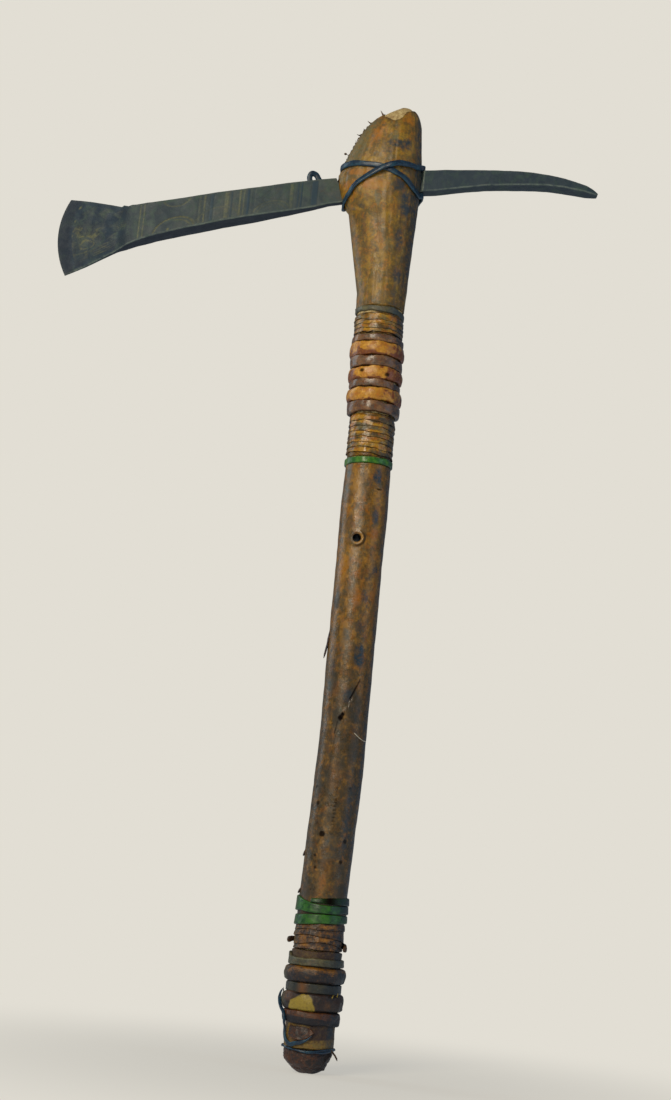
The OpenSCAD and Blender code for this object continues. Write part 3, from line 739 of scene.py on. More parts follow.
def ornament(x, h, height, from_edge):
    """Cut depth, gilding and blue-black at x, h millimetres above the lower edge of a face height tall,
    from_edge millimetres behind the cutting edge."""
    z = h - height / 2
    cut, gilt, teal = np.zeros_like(x), np.zeros_like(x), np.zeros_like(x)
    on_blade = smooth((FLARE_X + 4 - x) / 4) * smooth((from_edge - 5) / 2)
    inside = smooth((h - 3) / 1.5) * smooth((height - 2 - h) / 1.5)
    # Scrolls on the blade: the level lines of a warped noise, strongest behind the middle of the edge
    flat = np.stack([x, z, 0 * x], axis=-1)
    swirl = value_noise(flat / 9 + 0.35 * value_noise(flat / 4, 63)[..., None], 61)
    curls = line(swirl - 0.15, 0.09) + line(swirl + 0.22, 0.09)
    place = near(from_edge, 17, 15) * near(z, -3, height * 0.42)
    gilt = np.maximum(gilt, on_blade * inside * place * (0.95 * curls + 0.22))
    cut = np.maximum(cut, on_blade * inside * place * curls * 0.7)
    # Faint tiers of hatched triangles that point to the cutting edge
    for tier, start in enumerate((11.0, 21.0, 31.0)):
        depth = 7.5 - tier
        period = 11.0 - 1.5 * tier
        front = start + depth * zigzag(z + period / 4, period)
        body = smooth((from_edge - front) / 0.8) * smooth((start + depth + 1 - from_edge) / 0.8)
        gilt = np.maximum(gilt, 0.12 * on_blade * inside * body)
        cut = np.maximum(cut, on_blade * inside * line(from_edge - front, 0.7) * 0.5)
    dots = np.hypot(from_edge - 8.5, (z + 5.5) % 9.5 - 4.75)
    gilt = np.maximum(gilt, 0.75 * smooth(1.5 - dots) * (x < FLARE_X) * inside)
    # Lines that follow the cutting edge and the lower edge of the blade, and a few level ones at its root
    cut = np.maximum(cut, (x < FLARE_X) * inside * line(from_edge - EDGE_BAND + 1.2, 0.6) * 0.5)
    for rise in (3.2, 4.6, 6.0, 7.4):
        cut = np.maximum(cut, on_blade * line(h - rise, 0.5) * 0.7)
        gilt = np.maximum(gilt, on_blade * line(h - rise - 0.7, 0.5) * near(x, -179, 10) * 0.5)
    level = near(x, -169, 6) * near(z, 1, 4) * (0.5 + 0.5 * np.cos(z * TURN / 1.3))
    gilt = np.maximum(gilt, 0.5 * level)
    # Upright bands along the bar
    rim = smooth((h - 0.8) / 0.8) * smooth((height - 0.8 - h) / 0.8)
    for start, end, gilding, blueing in BAR_BANDS:
        band = rim * smooth((x - start) / 0.5) * smooth((end - x) / 0.5)
        gilt = np.maximum(gilt, band * gilding)
        teal = np.maximum(teal, band * blueing)
        cut = np.maximum(cut, rim * 0.5 * np.maximum(line(x - start, 0.45), line(x - end, 0.45)))
    # A flat arc that stands on the lower edge, doubled on its right, and fainter ones beside it
    for centre, rise, strength, hangs in ((-134.6, 8.6, 1.0, 0), (-134.6, 6.8, 0.55, 0), (-108, 9.5, 0.3, 0), (-74, 8.0, 0.35, 0),
                                          (-74, 6.2, 0.25, 0), (-134, 5.6, 0.5, 1)):
        ring_line = rim * strength * line(np.hypot((x - centre) * 0.68, height - h if hangs else h) - rise, 0.8)
        if rise == 6.8:
            ring_line = ring_line * smooth((x - centre + 2) / 3)
        gilt = np.maximum(gilt, ring_line)
        cut = np.maximum(cut, 0.8 * ring_line)
    gilt = np.maximum(gilt, near(x, -138.2, 1.3) * near(h, 1.4, 1.5))
    # A faint leaf spray between two groups of bands, and slanting strokes beside the haft
    spray = rim * smooth((x + 86) / 2) * smooth((-62 - x) / 2)
    rib = h - height * (0.5 + 0.08 * np.sin((x + 90) / 5))
    veins = line(((np.abs(rib) * 0.9 - x) % 5.2) - 2.6, 0.6) * smooth((height * 0.42 - np.abs(rib)) / 1.5)
    cut = np.maximum(cut, spray * np.maximum(line(rib, 0.6), veins) * 0.4)
    gilt = np.maximum(gilt, spray * veins * 0.16)
    strokes = rim * smooth((x + 43) / 2) * smooth((-31 - x) / 2)
    slant = line(((np.abs(h - height * 0.55) - x) % 5.0) - 2.5, 0.7)
    cut = np.maximum(cut, strokes * slant * 0.4)
    gilt = np.maximum(gilt, strokes * slant * 0.2)
    return cut, gilt, teal


def iron_columns():
    """Where the lines across the head stand, from the cutting edge to the pick's tip: the blend along the blade
    from the curved edge (0) to upright (1), then the x of each upright line on to the tip."""
    blade = np.linspace(0, 1, 110)
    bar = np.arange(FLARE_X, IRON_HIGH[0] - 6, 0.48)[1:]
    tip = IRON_HIGH[0] - 6 * (1 - np.sin(np.linspace(0, math.pi / 2, 26)))
    return blade, np.concatenate([bar, tip[1:]])


def iron():
    blade, xs = iron_columns()
    heights = np.linspace(0, 1, 61)
    z_low_edge = min(p[2] for p in node_points("iron_head") if p[0] < FLARE_X)
    z_high_edge = max(p[2] for p in node_points("iron_head") if p[0] < IRON_LOW[0] + 12)
    # The cutting edge, and the blade's upper and lower outlines, read from the CAD solid
    edge_z = np.linspace(z_low_edge + 0.05, z_high_edge - 0.05, len(heights))
    edge = [iron_reach((-400, 0, z), (1, 0, 0)) for z in edge_z]
    edge = np.array([(p.x, p.z) for p in edge])
    def outline(side):
        corner = edge[0 if side == 0 else -1, 0] + 0.05
        x = corner + (FLARE_X - corner) * blade
        return np.column_stack([x, [iron_span(v)[side] for v in x]])
    low, high = outline(0), outline(1)
    flare = np.column_stack([np.full(len(heights), FLARE_X), low[-1, 1] + (high[-1, 1] - low[-1, 1]) * heights])
    s, t = heights[None, :, None], blade[:, None, None]
    corners = ((1 - t) * (1 - s) * edge[0] + t * (1 - s) * flare[0] + (1 - t) * s * edge[-1] + t * s * flare[-1])
    sheet = ((1 - s) * low[:, None] + s * high[:, None] + (1 - t) * edge[None] + t * flare[None] - corners)
    spans = np.array([iron_span(min(x, IRON_HIGH[0] - 0.02)) for x in xs])
    rest = np.stack([np.broadcast_to(xs[:, None], (len(xs), len(heights))),
                     spans[:, :1] + (spans[:, 1:] - spans[:, :1]) * heights[None, :]], axis=-1)
    sheet = np.concatenate([sheet, rest])
    middle = sheet[:, len(heights) // 2]
    thick = []
    for x, z in middle:
        hit = iron_reach((x + 0.3 if x < 0 else x - 0.3, -60, z), (0, 1, 0))
        thick.append(abs(hit.y) if hit else 0.3)
    thick = np.maximum(np.array(thick), 0.35)
    root = np.abs(middle[:, 0] - FLARE_X) < 14
    eased = [thick[np.abs(middle[:, 0] - x) < 3.2].mean() for x in middle[root, 0]]
    thick[root] = eased
    tall = np.linalg.norm(sheet[:, -1] - sheet[:, 0], axis=1)
    # Closed section: front face, top, back face, bottom, with rounded arrises
    radius = np.minimum.reduce([np.full(len(thick), 0.9), thick * 0.85, np.maximum(tall, 0.05) * 0.45])[:, None]
    corner = np.linspace(0, math.pi / 2, 5)
    face = np.linspace(0, 1, 59)
    flat = np.linspace(0, 1, 9)[1:-1]
    tall_, thick_ = tall[:, None], thick[:, None]
    def row(value):
        return np.broadcast_to(value, (len(thick), value.shape[-1]))
    up_face = row(radius + (tall_ - 2 * radius) * face)
    h = np.concatenate([up_face, tall_ - radius + radius * np.sin(corner)[1:], row(tall_ + 0 * flat),
                        (tall_ - radius + radius * np.sin(corner[::-1]))[:, :-1], up_face[:, ::-1],
                        (radius - radius * np.sin(corner))[:, 1:], row(0 * tall_ + 0 * flat),
                        (radius - radius * np.sin(corner[::-1]))[:, :-1]], axis=1)
    top = -(thick_ - radius + radius * np.cos(corner))
    y = np.concatenate([row(-thick_ + 0 * face), top[:, 1:], (-(thick_ - radius) + 2 * (thick_ - radius) * flat),
                        -top[:, ::-1][:, :-1], row(thick_ + 0 * face), -top[:, 1:],
                        ((thick_ - radius) - 2 * (thick_ - radius) * flat), top[:, ::-1][:, :-1]], axis=1)
    share = np.clip(h / np.maximum(tall_, 0.01), 0, 1) * (len(heights) - 1)
    i = np.clip(share.astype(int), 0, len(heights) - 2)
    f = (share - i)[..., None]
    rows = np.arange(len(sheet))[:, None]
    xz = sheet[rows, i] * (1 - f) + sheet[rows, i + 1] * f
    x, z = xz[..., 0], xz[..., 1]
    on_face = smooth((np.abs(y) - thick_ + 0.3) / 0.25) * (thick_ > 0.9)
    edge_x = np.interp(z, edge[:, 1], edge[:, 0])
    carved = on_face * (x < node_box("head_hide")[0][0] + 4)
    cut, gilt, teal = (value * carved for value in ornament(x, h, tall_ + 0 * h, x - edge_x))
    at = np.stack([x, y, z], axis=-1)
    forged = 0.16 * fractal(at, 16, 4, 3) + 0.05 * fractal(at, 3, 9, 2)
    shallow = np.clip(thick_ / 3, 0.1, 1)
    y = y + np.sign(y) * (forged * shallow - 0.18 * cut * shallow) * np.clip(np.abs(y) / thick_, 0, 1)
    z = z + 0.14 * fractal(at, 9, 21, 3) * smooth(np.abs(h / np.maximum(tall_, 0.01) * 2 - 1))
    inset = thick_ - np.abs(at[..., 1])
    low_wear = np.clip(1 - np.hypot(inset, h) / 1.1, 0, 1)
    high_wear = np.clip(1 - np.hypot(inset, tall_ - h) / 1.1, 0, 1)
    shoulder = near(x, node_box("head_hide")[1][0] + 1.5, 1.1) * on_face
    worn = np.maximum.reduce([low_wear, 0.3 * high_wear, shoulder, 0.25 * near(x - edge_x, 0, 2.0) * (x < FLARE_X)])
    # under: painted shade on the underside, less on the pick's side, and a darker band along the cutting edge
    under = (0.9 - 0.75 * (x > 0)) * smooth((0.5 - h) / 0.3) * smooth((inset - 0.6) / 0.4)
    under = np.maximum(under, 0.6 * smooth((EDGE_BAND - (x - edge_x)) / 3) * (x < FLARE_X))
    navy = np.maximum(smooth((FLARE_X + 8 - x) / 16), 0.7 * smooth(x / 4))
    navy = np.maximum(navy, 0.45 * smooth((-95 - x) / 60))
    grid = np.stack([x, y, z], axis=-1)
    values = {"cut": cut, "gilt": gilt, "teal": teal, "arris": worn, "navy": navy, "under": under}
    Build().add(grid, False, values).piece("iron_head_looks", M["iron"], ["iron_head"])


iron()


# ---- head cover and lashing -------------------------------------------------------------------------------------

COVER = 1.1
HEAD_Z = node_box("head_hide")[0][2]
SEAM = BLADE_SIDE


def head_cover():
    """The sewn cover over the haft's swollen end, open at the crown on the blade side."""
    a = full_turn(240)
    low = HEAD_Z + wavy(a, 0.4, 5)
    high = 603.6 + 3.0 * np.cos(a) - 1.2 * np.abs(np.sin(a)) + wavy(a, 0.7, 9, 4)
    high -= np.interp(front_angle(a), [-1.2, -0.8, -0.53, -0.24, -0.06, 0.08, 0.2, 0.34, 0.5],
                      [0, 2.2, 4.4, 7.1, 8.6, 8.2, 5.8, 0.9, 0]) + 3.0 * around(a, -FRONT + 0.5, 0.6)
    def relief(a, z):
        seam = around(a, SEAM, 0.10) * smooth((z - 552) / 8)
        pucker = 0.35 * seam * (0.6 + 0.6 * np.cos(z * TURN / 3.4))
        creases = 0.16 * value_noise(np.stack([a * 9, z / 22, 0 * a + 0 * z], axis=-1), 8)
        drawn = 0.22 * smooth((z - 500) / 40)
        ridges = drawn * value_noise(np.stack([a * 14, z / 15, 0 * a + 0 * z + 3], axis=-1), 12)
        return 0.35 * seam + pucker + creases + ridges
    grid, across = wrap(a, low, high, 0.05, COVER, rows=330, ease=1.0, bumps=0.30, bump_size=11, seed=3,
                        bulges=[(SEAM, 556, 0.5, 12, 0.5)], relief=relief)
    a_all, z = np.broadcast_to(a[:, None], across.shape), grid[..., 2]
    ragged = 0.3 * fractal(grid, 7, 57, 4)
    front = front_angle(a_all)
    def blotted(*blots):
        """Soft ragged patches, each (angle from the front, height, angular reach, height reach, amount)."""
        return np.maximum.reduce([amount * smooth((near(front, f, reach) * near(z, level, tall) + 1.2 * ragged - 0.12) / 0.5)
                                  for f, level, reach, tall, amount in blots])
    # Painted rim sheen: the blade-side edge greyed, beside grey patches (ash)
    left = smooth((-0.55 - front - 0.2 * ragged) / 0.25) * smooth((z - 558) / 5)
    ash = np.maximum(0.8 * left * smooth((598 - z) / 6),
                     blotted((0.04, 582, 0.2, 7, 0.8), (-0.05, 566, 0.25, 5, 0.5), (-0.25, 538, 0.10, 9, 0.7),
                             (-1.1, 553, 0.4, 4, 0.7), (-0.6, 526, 0.3, 6, 0.5), (0.1, 508, 0.3, 7, 0.4)))
    # Painted shade on the pick side, with blue-grey patches (blue)
    right = smooth((front + 0.3 * ragged - 0.72) / 0.35) * smooth((2.6 - front) / 0.3)
    blue = np.maximum(0.86 * right * smooth((z - 474) / 16) * smooth((608 - z) / 10),
                      blotted((0.12, 576, 0.5, 5, 0.85), (0.45, 578, 0.3, 6, 0.9), (-0.05, 571, 0.2, 4, 0.6),
                              (0.3, 548, 0.4, 8, 0.8), (0.62, 538, 0.4, 14, 0.8), (-0.7, 534, 0.16, 5, 0.4),
                              (0.5, 514, 0.3, 12, 0.6), (0.55, 490, 0.3, 10, 0.6)))
    warm = blotted((-0.48, 583, 0.26, 9, 0.9), (-0.3, 547, 0.4, 6, 0.9), (-0.75, 556, 0.5, 4, 0.8),
                   (-0.95, 547, 0.4, 6, 0.7), (0.5, 596, 0.5, 7, 0.8), (0.2, 532, 0.3, 6, 0.5), (-0.3, 512, 0.3, 8, 0.5))
    worn = blotted((-0.42, 564.5, 0.42, 4, 1.0), (0.25, 588, 0.3, 6, 0.6), (-0.2, 547, 0.3, 4, 0.5),
                   (-0.55, 536, 0.3, 6, 0.6), (0.0, 528, 0.3, 6, 0.5), (-0.2, 500, 0.4, 9, 0.6), (-0.4, 480, 0.4, 8, 0.5))
    # Painted shade low on the pick side (dusk)
    dusk = 0.6 * smooth((front - 0.05 + 0.3 * ragged) / 0.5) * smooth((572 - z) / 10) * smooth((2.4 - front) / 0.4)
    frayed = 1 - smooth((high[:, None] - z) / 2.2)
    values = {"ash": ash, "worn": worn, "warm": warm, "blue": blue, "dusk": dusk, "dark": 0.35 * frayed}
    piece = Build().add(grid, True, values).piece("head_cover", M["head"], ["head_hide"])
    half = PLUG_HIGH[1] + 0.9
    middle = (SEAT_LOW[0] + SEAT_HIGH[0]) / 2 - SEAT_SLOPE * SEAT_XS[0]
    tall = (SEAT_HIGH[0] - SEAT_LOW[0]) / 2 + 1.6
    matrix = Matrix.Translation((0, 0, middle)) @ Matrix.Rotation(-math.atan(SEAT_SLOPE), 4, "Y")
    apply_boolean(piece, cutter_box((-90, -half, -tall), (90, half, tall), matrix), "DIFFERENCE")


def thorn(build, foot, direction, length, radius, bend=0.3, values=None):
    """A tapering stiff end of thread."""
    direction = np.array(direction, float) / np.linalg.norm(direction)
    steps = np.linspace(0, 1, 9)[:, None]
    path = np.array(foot) + direction * length * steps + np.array([0, 0, bend]) * steps**2
    normals = np.tile(np.cross(direction, [0.0, 1.0, 0.05]), (len(steps), 1))
    size = radius * 2 * (1 - 0.85 * steps[:, 0])
    build.add(strap(path, normals, size, size, 8)[0], False, values)


def head_stitches():
    """Whip stitches over the seam and the stiff ends that stand off it."""
    build = Build()
    rng = np.random.default_rng(4)
    for z in np.arange(560.5, 602, 2.9):
        tilt = rng.uniform(-0.6, 0.6)
        a = SEAM + np.linspace(-0.16, 0.16, 13) * (1 + 0.6 * smooth((z - 590) / 12))
        levels = z + tilt * np.linspace(-1, 1, 13)
        off = COVER + 0.55 - 0.6 * np.abs(np.linspace(-1, 1, 13)) ** 4
        path = on_haft(a, levels, off)
        normals = path - np.array([haft_axis(z), 0, z - 2])
        build.add(strap(path, normals, 0.75, 0.5, 8)[0], False)
    for z, length, radius, lean in ((601.6, 3.6, 0.75, 1.4), (595.2, 2.6, 0.6, 0.5), (590.6, 0.9, 0.4, 0.2),
                                    (586.2, 2.2, 0.5, 0.1), (582.0, 0.8, 0.35, 0.0)):
        foot = on_haft(SEAM + 0.08, z, COVER + 0.5)
        thorn(build, foot, (-1, -0.15, lean), length, radius)
    foot = on_haft(SEAM + 0.1, 571.5, COVER + 0.2)
    thorn(build, foot, (-1, -0.1, 0.25), 2.2, 0.3)
    knot = foot + np.array([-2.4, -0.3, 0.8])
    t = np.linspace(0, math.pi, 9)
    loop = full_turn(12)
    ball = np.stack([knot[0] + 0.9 * np.cos(t)[:, None] + 0 * loop,
                     knot[1] + (0.05 + 0.7 * np.sin(t))[:, None] * np.cos(loop),
                     knot[2] + (0.05 + 0.7 * np.sin(t))[:, None] * np.sin(loop)], axis=-1)
    build.add(ball[::-1], False)
    build.piece("head_seam_thread", M["sinew"], ["head_stitches"])


# Height of each turn against its angle from the blade side (0) round to the pick side (180)
TURN_A = Curve([(-20, 563), (0, 562.6), (25, 562), (41, 561.9), (60, 560.6), (76, 559.4), (96, 556.1), (118, 552.8),
                (135, 548.9), (150, 546.9), (161, 546.6), (172, 548.2), (180, 549), (200, 549)])
TURN_B = Curve([(-20, 536.4), (0, 536.4), (15, 537.8), (25, 539.4), (36, 542), (51, 548.1), (69, 554), (83, 558.6),
                (99, 561.5), (119, 562.7), (150, 564.2), (165, 566.4), (180, 567.8), (200, 567.8)])
THONG_W, THONG_T = 3.7, 1.7


def lashing_turn(name, levels, seed, over):
    """One closed turn of thong. over lifts it where it rides on the other turn."""
    degrees = np.linspace(0, 360, 260, endpoint=False)
    folded = np.where(degrees > 180, 360 - degrees, degrees)
    a = np.radians(180 + degrees)
    off = COVER + THONG_T / 2 + 0.1 + over * (THONG_T + 0.1) * np.exp(-((folded - 88) / 20) ** 2)
    off += 0.9 * smooth((folded - 164) / 12)
    off += 0.18 * fractal(np.column_stack([degrees / 6, 0 * a, 0 * a + seed]), 2, seed)
    path = on_haft(a, levels(folded), off)
    path = np.concatenate([path, path[:1]])
    off_axis = np.column_stack([path[:, 0] - haft_axis(path[:, 2]), path[:, 1], 0 * path[:, 0] + 2.0])
    twist = 0.25 * fractal(np.column_stack([degrees / 14, 0 * a, 0 * a]), 2, seed + 3)
    off_axis[:-1, 2] += 14 * twist
    off_axis[-1] = off_axis[0]
    width = THONG_W * (1 + 0.10 * fractal(np.column_stack([degrees / 9, 0 * a, 0 * a]), 2, seed + 8))
    grid, across = strap(path, off_axis, np.append(width, width[0]), THONG_T, 18)
    rim = smooth((np.abs(across * 2 - 1) - 0.72) / 0.2)
    grid[-1] = grid[0] = (grid[-1] + grid[0]) / 2
    Build().add(grid[:-1], True, {"worn": 0.45 * rim[:-1]}).piece(name + "_looks", M["thong"], [name])


def lashing_end():
    """The thong's stiff end: a short bight that stands up behind the bar."""
    back = iron_reach((-50, 60, 545), (0, -1, 0)).y + 2.4
    path = resample([(-35.5, back + 2.6, 545.5), (-42, back + 0.8, 547.4), (-48, back, 550.6), (-51.4, back, 554.8),
                     (-52.0, back, 558.0), (-50.6, back + 0.2, 560.4), (-48.2, back + 0.6, 559.9),
                     (-46.2, back + 0.8, 557.2), (-44.0, back + 1.0, 553.6)], 90)
    grid, across = strap(path, np.tile([0.0, 1.0, 0.0], (len(path), 1)), np.linspace(3.2, 3.7, len(path)), 2.4, 18)
    rim = smooth((np.abs(across * 2 - 1) - 0.8) / 0.2)
    Build().add(grid, False, {"worn": 0.35 * rim}).piece("lashing_end_looks", M["thong"], ["lashing_end"])


head_cover()
head_stitches()
lashing_turn("lashing_turn_a", TURN_A, 31, 0)
lashing_turn("lashing_turn_b", TURN_B, 47, 1)
lashing_end()


# ---- upper bindings -------------------------------------------------------------------------------------------------

def levels(name):
    low, high = node_box(name)
    return low[2], high[2]


def side_shade(a):
    """Painted shade: the blue-black laid on the pick side of every binding, the side turned away from the light."""
    front = front_angle(a)
    return 0.75 * smooth((front - 0.42 + 0.15 * np.sin(a * 9)) / 0.4) * smooth((2.3 - front) / 0.5)


def painted_gap_shade(a, z, across):
    """Painted shade along both edges of a band, where it meets its neighbours."""
    return {"dark": 0.55 * smooth((np.abs(across * 2 - 1) - 0.86) / 0.12)}


def stained_low(shares, drips, spots=()):
    """Paint for a pale ring: red-brown stain creeping up from its lower edge by shares of its height, drips as
    (angle from the front, angular reach, lower share, upper share) and dark spots as (angle from the front, share)."""
    def paint(a, z, across):
        front = front_angle(a)
        ragged = 0.22 * fractal(np.stack([a * 12, 0 * a, z], axis=-1), 3.0, 5)
        climb = np.interp(front, np.linspace(-1.6, 1.6, len(shares)), shares)
        rust = smooth((climb + ragged - across) / 0.10)
        for angle, reach, low, high in drips:
            inside = near(front + 0.2 * ragged, angle, reach) * smooth((across - low + ragged) / 0.12)
            rust = np.maximum(rust, smooth(1.6 * inside) * smooth((high + ragged - across) / 0.12))
        # Painted shade along both edges, where the ring meets its neighbours
        dark = 0.6 * smooth((np.abs(across * 2 - 1) - 0.86) / 0.12)
        for angle, share in spots:
            dark = np.maximum(dark, 0.9 * smooth(1.9 - np.hypot((front - angle) * 15, (across - share) * 10)))
        return {"rust": 0.92 * rust, "dark": dark}
    return paint


def strip_paint(seed, lines):
    """Paint for a wound strip: painted shade along its edges between the turns, turns that differ in tone, warm and
    cloudy grey patches.
    """
    def paint(a, z, across):
        front = front_angle(a)
        blotch = value_noise(np.stack([a * 1.9, z / 2.2, 0 * a], axis=-1), seed)
        patch = value_noise(np.stack([a * 3.1, z / 1.7, 0 * a + 7], axis=-1), seed + 1)
        # edges: painted shade lines between the turns
        edges = lines * smooth((0.13 - across) / 0.10) + 0.5 * lines * smooth((across - 0.93) / 0.06)
        return {"dark": edges, "stain": 0.8 * smooth((blotch - 0.25) / 0.25) + 0.4 * near(front, -1.35, 0.3),
                "worn": 0.75 * smooth((-blotch - 0.12) / 0.3) * smooth((0.7 - front) / 0.3),
                "warm": 0.8 * smooth((patch - 0.3) / 0.2), "ash": 0.6 * smooth((-patch - 0.3) / 0.2)}
    return paint


def under_strip(low, high):
    """Starts a wound strip with its first turns, pressed flat against the wood, that fill the gaps at both ends."""
    a = full_turn(160)
    grid, across = wrap(a, low + 0.1, high - 0.1, 0.06, 0.55, rows=24, ease=0.4, bumps=0.1, seed=59)
    # These turns show only in the gaps between the turns above: dark is painted shade there, blue the pick side's
    # painted shade.
    return Build().add(grid, True, {"dark": 0.45 + 0 * across, "blue": side_shade(a[:, None]) + 0 * across})


def upper_bindings():
    low, high = levels("neck_band")
    def neck_paint(a, z, across):
        front = front_angle(a)
        # blue: painted shade on the pick side; ash: a grey patch on the blade side with the painted rim sheen
        return {"warm": 0.5 * smooth((across - 0.75) / 0.2) * near(front, 0.2, 0.5),
                "ash": 0.5 * near(front, -0.7, 0.6), "blue": 0.8 * smooth((front - 0.3) / 0.4) * smooth((2.3 - front) / 0.5)}
    ring("neck_band", low - 0.2, high + 0.1, 0.1, 1.25, M["grey"], wander=0.7, seed=7, bumps=0.25, rows=16, slant=2.2,
         paint=neck_paint)
    low, high = levels("upper_wrap")
    build = under_strip(low, high)
    spiral(build, 1.2, 4.0, high - 1.7, (high - low - 3.2) / 4.0, 3.9, 0.15, 1.15, 61, tilt=0.6, wander=0.75,
           ease=0.5, bumps=0.3, bump_size=3.5, rows=16, paint=strip_paint(15, 0.85))
    build.piece("upper_wrap_looks", M["tan_strip"], ["upper_wrap"])
    low, high = levels("upper_collar")
    def collar_paint(a, z, across):
        front = front_angle(a)
        # dark: painted shade along both edges
        return {"worn": 0.9 * near(front, -1.0, 0.5) * smooth((across - 0.15) / 0.2), "dark": painted_gap_shade(a, z, across)["dark"]}
    ring("upper_collar", low - 0.2, high + 0.2, 0.1, 1.95, M["dark"], wander=0.45, seed=19, bumps=0.2, crown=0.25,
         rows=18, slant=0.4, paint=collar_paint)
    # The dark bands' paint is painted shade along both edges.
    rings = [
        ("pale_ring_1", 2.35, 0.85, M["pale"], 23, 0.2, stained_low(
            [0.5, 0.44, 0.36, 0.22, 0.32, 0.42, 0.6],
            [(0.62, 0.13, 0.4, 0.95), (0.82, 0.1, 0.35, 0.8), (1.15, 0.3, 0.0, 0.8), (-0.75, 0.12, 0.0, 0.6)])),
        ("dark_band_1", 2.15, 0.5, M["dark"], 29, 0.5, painted_gap_shade),
        ("pale_ring_2", 2.4, 0.7, M["pale"], 37, -0.3, stained_low(
            [0.8, 0.55, 0.12, 0.08, 0.2, 0.5, 0.7],
            [(-1.1, 0.25, 0.0, 0.85), (0.62, 0.3, 0.1, 0.9), (1.0, 0.3, 0.1, 0.95), (0.2, 0.12, 0.7, 1.1)],
            [(-0.55, 0.62), (0.42, 0.35)])),
        ("dark_band_2", 1.75, 0.35, M["dark"], 41, 1.1, painted_gap_shade),
        ("pale_ring_3", 2.3, 1.0, M["pale"], 43, 0.2, stained_low(
            [0.35, 0.12, 0.05, 0.06, 0.2, 0.3, 0.6],
            [(0.42, 0.14, 0.55, 0.95), (0.56, 0.12, 0.3, 0.85), (0.75, 0.12, 0.2, 0.8), (1.0, 0.14, 0.1, 0.6)])),
        ("dark_band_3", 2.3, 0.35, M["dark"], 53, 0.6, painted_gap_shade),
    ]
    for name, height, crown, material, seed, slant, paint in rings:
        low, high = levels(name)
        grow = 0.12 if name.startswith("pale") else 0.3
        base = 0.1 + 13.9 - float(HAFT((low + high) / 2, 3))
        ring(name, low - grow, high + grow, base, height + 0.1, material, wander=0.6, seed=seed, rows=30,
             crown=crown, bumps=0.3, bump_size=6, slant=slant, paint=paint, ease=1.0)


def middle_bindings():
    low, high = levels("middle_wrap")
    build = under_strip(low, high)
    turns = 7.0
    spiral(build, 2.0, turns, high - 2.0, (high - low - 4.0) / turns, 4.35, 0.12, 1.15, 71, tilt=0.65, wander=0.7,
           ease=0.6, bumps=0.3, bump_size=3.5, rows=16, paint=strip_paint(25, 0.9))
    build.piece("middle_wrap_looks", M["tan_strip"], ["middle_wrap"])
    low, high = levels("green_band")
    # dark: painted shadow along the lower edge; ash: painted rim sheen on the blade-side edge
    ring("green_band", low - 0.1, high + 0.3, 0.15, 1.75, M["green"], wander=0.3, seed=83, bumps=0.15, rows=18,
         slant=-0.6, paint=lambda a, z, c: {"worn": 0.4 * smooth((c - 0.86) / 0.1), "dark": 0.5 * smooth((0.14 - c) / 0.1),
                                            "ash": 0.5 * near(front_angle(a), -1.1, 0.35)})


upper_bindings()
middle_bindings()


# ---- grip -----------------------------------------------------------------------------------------------------------------

GRIP_LOW, GRIP_HIGH = levels("grip_hide")


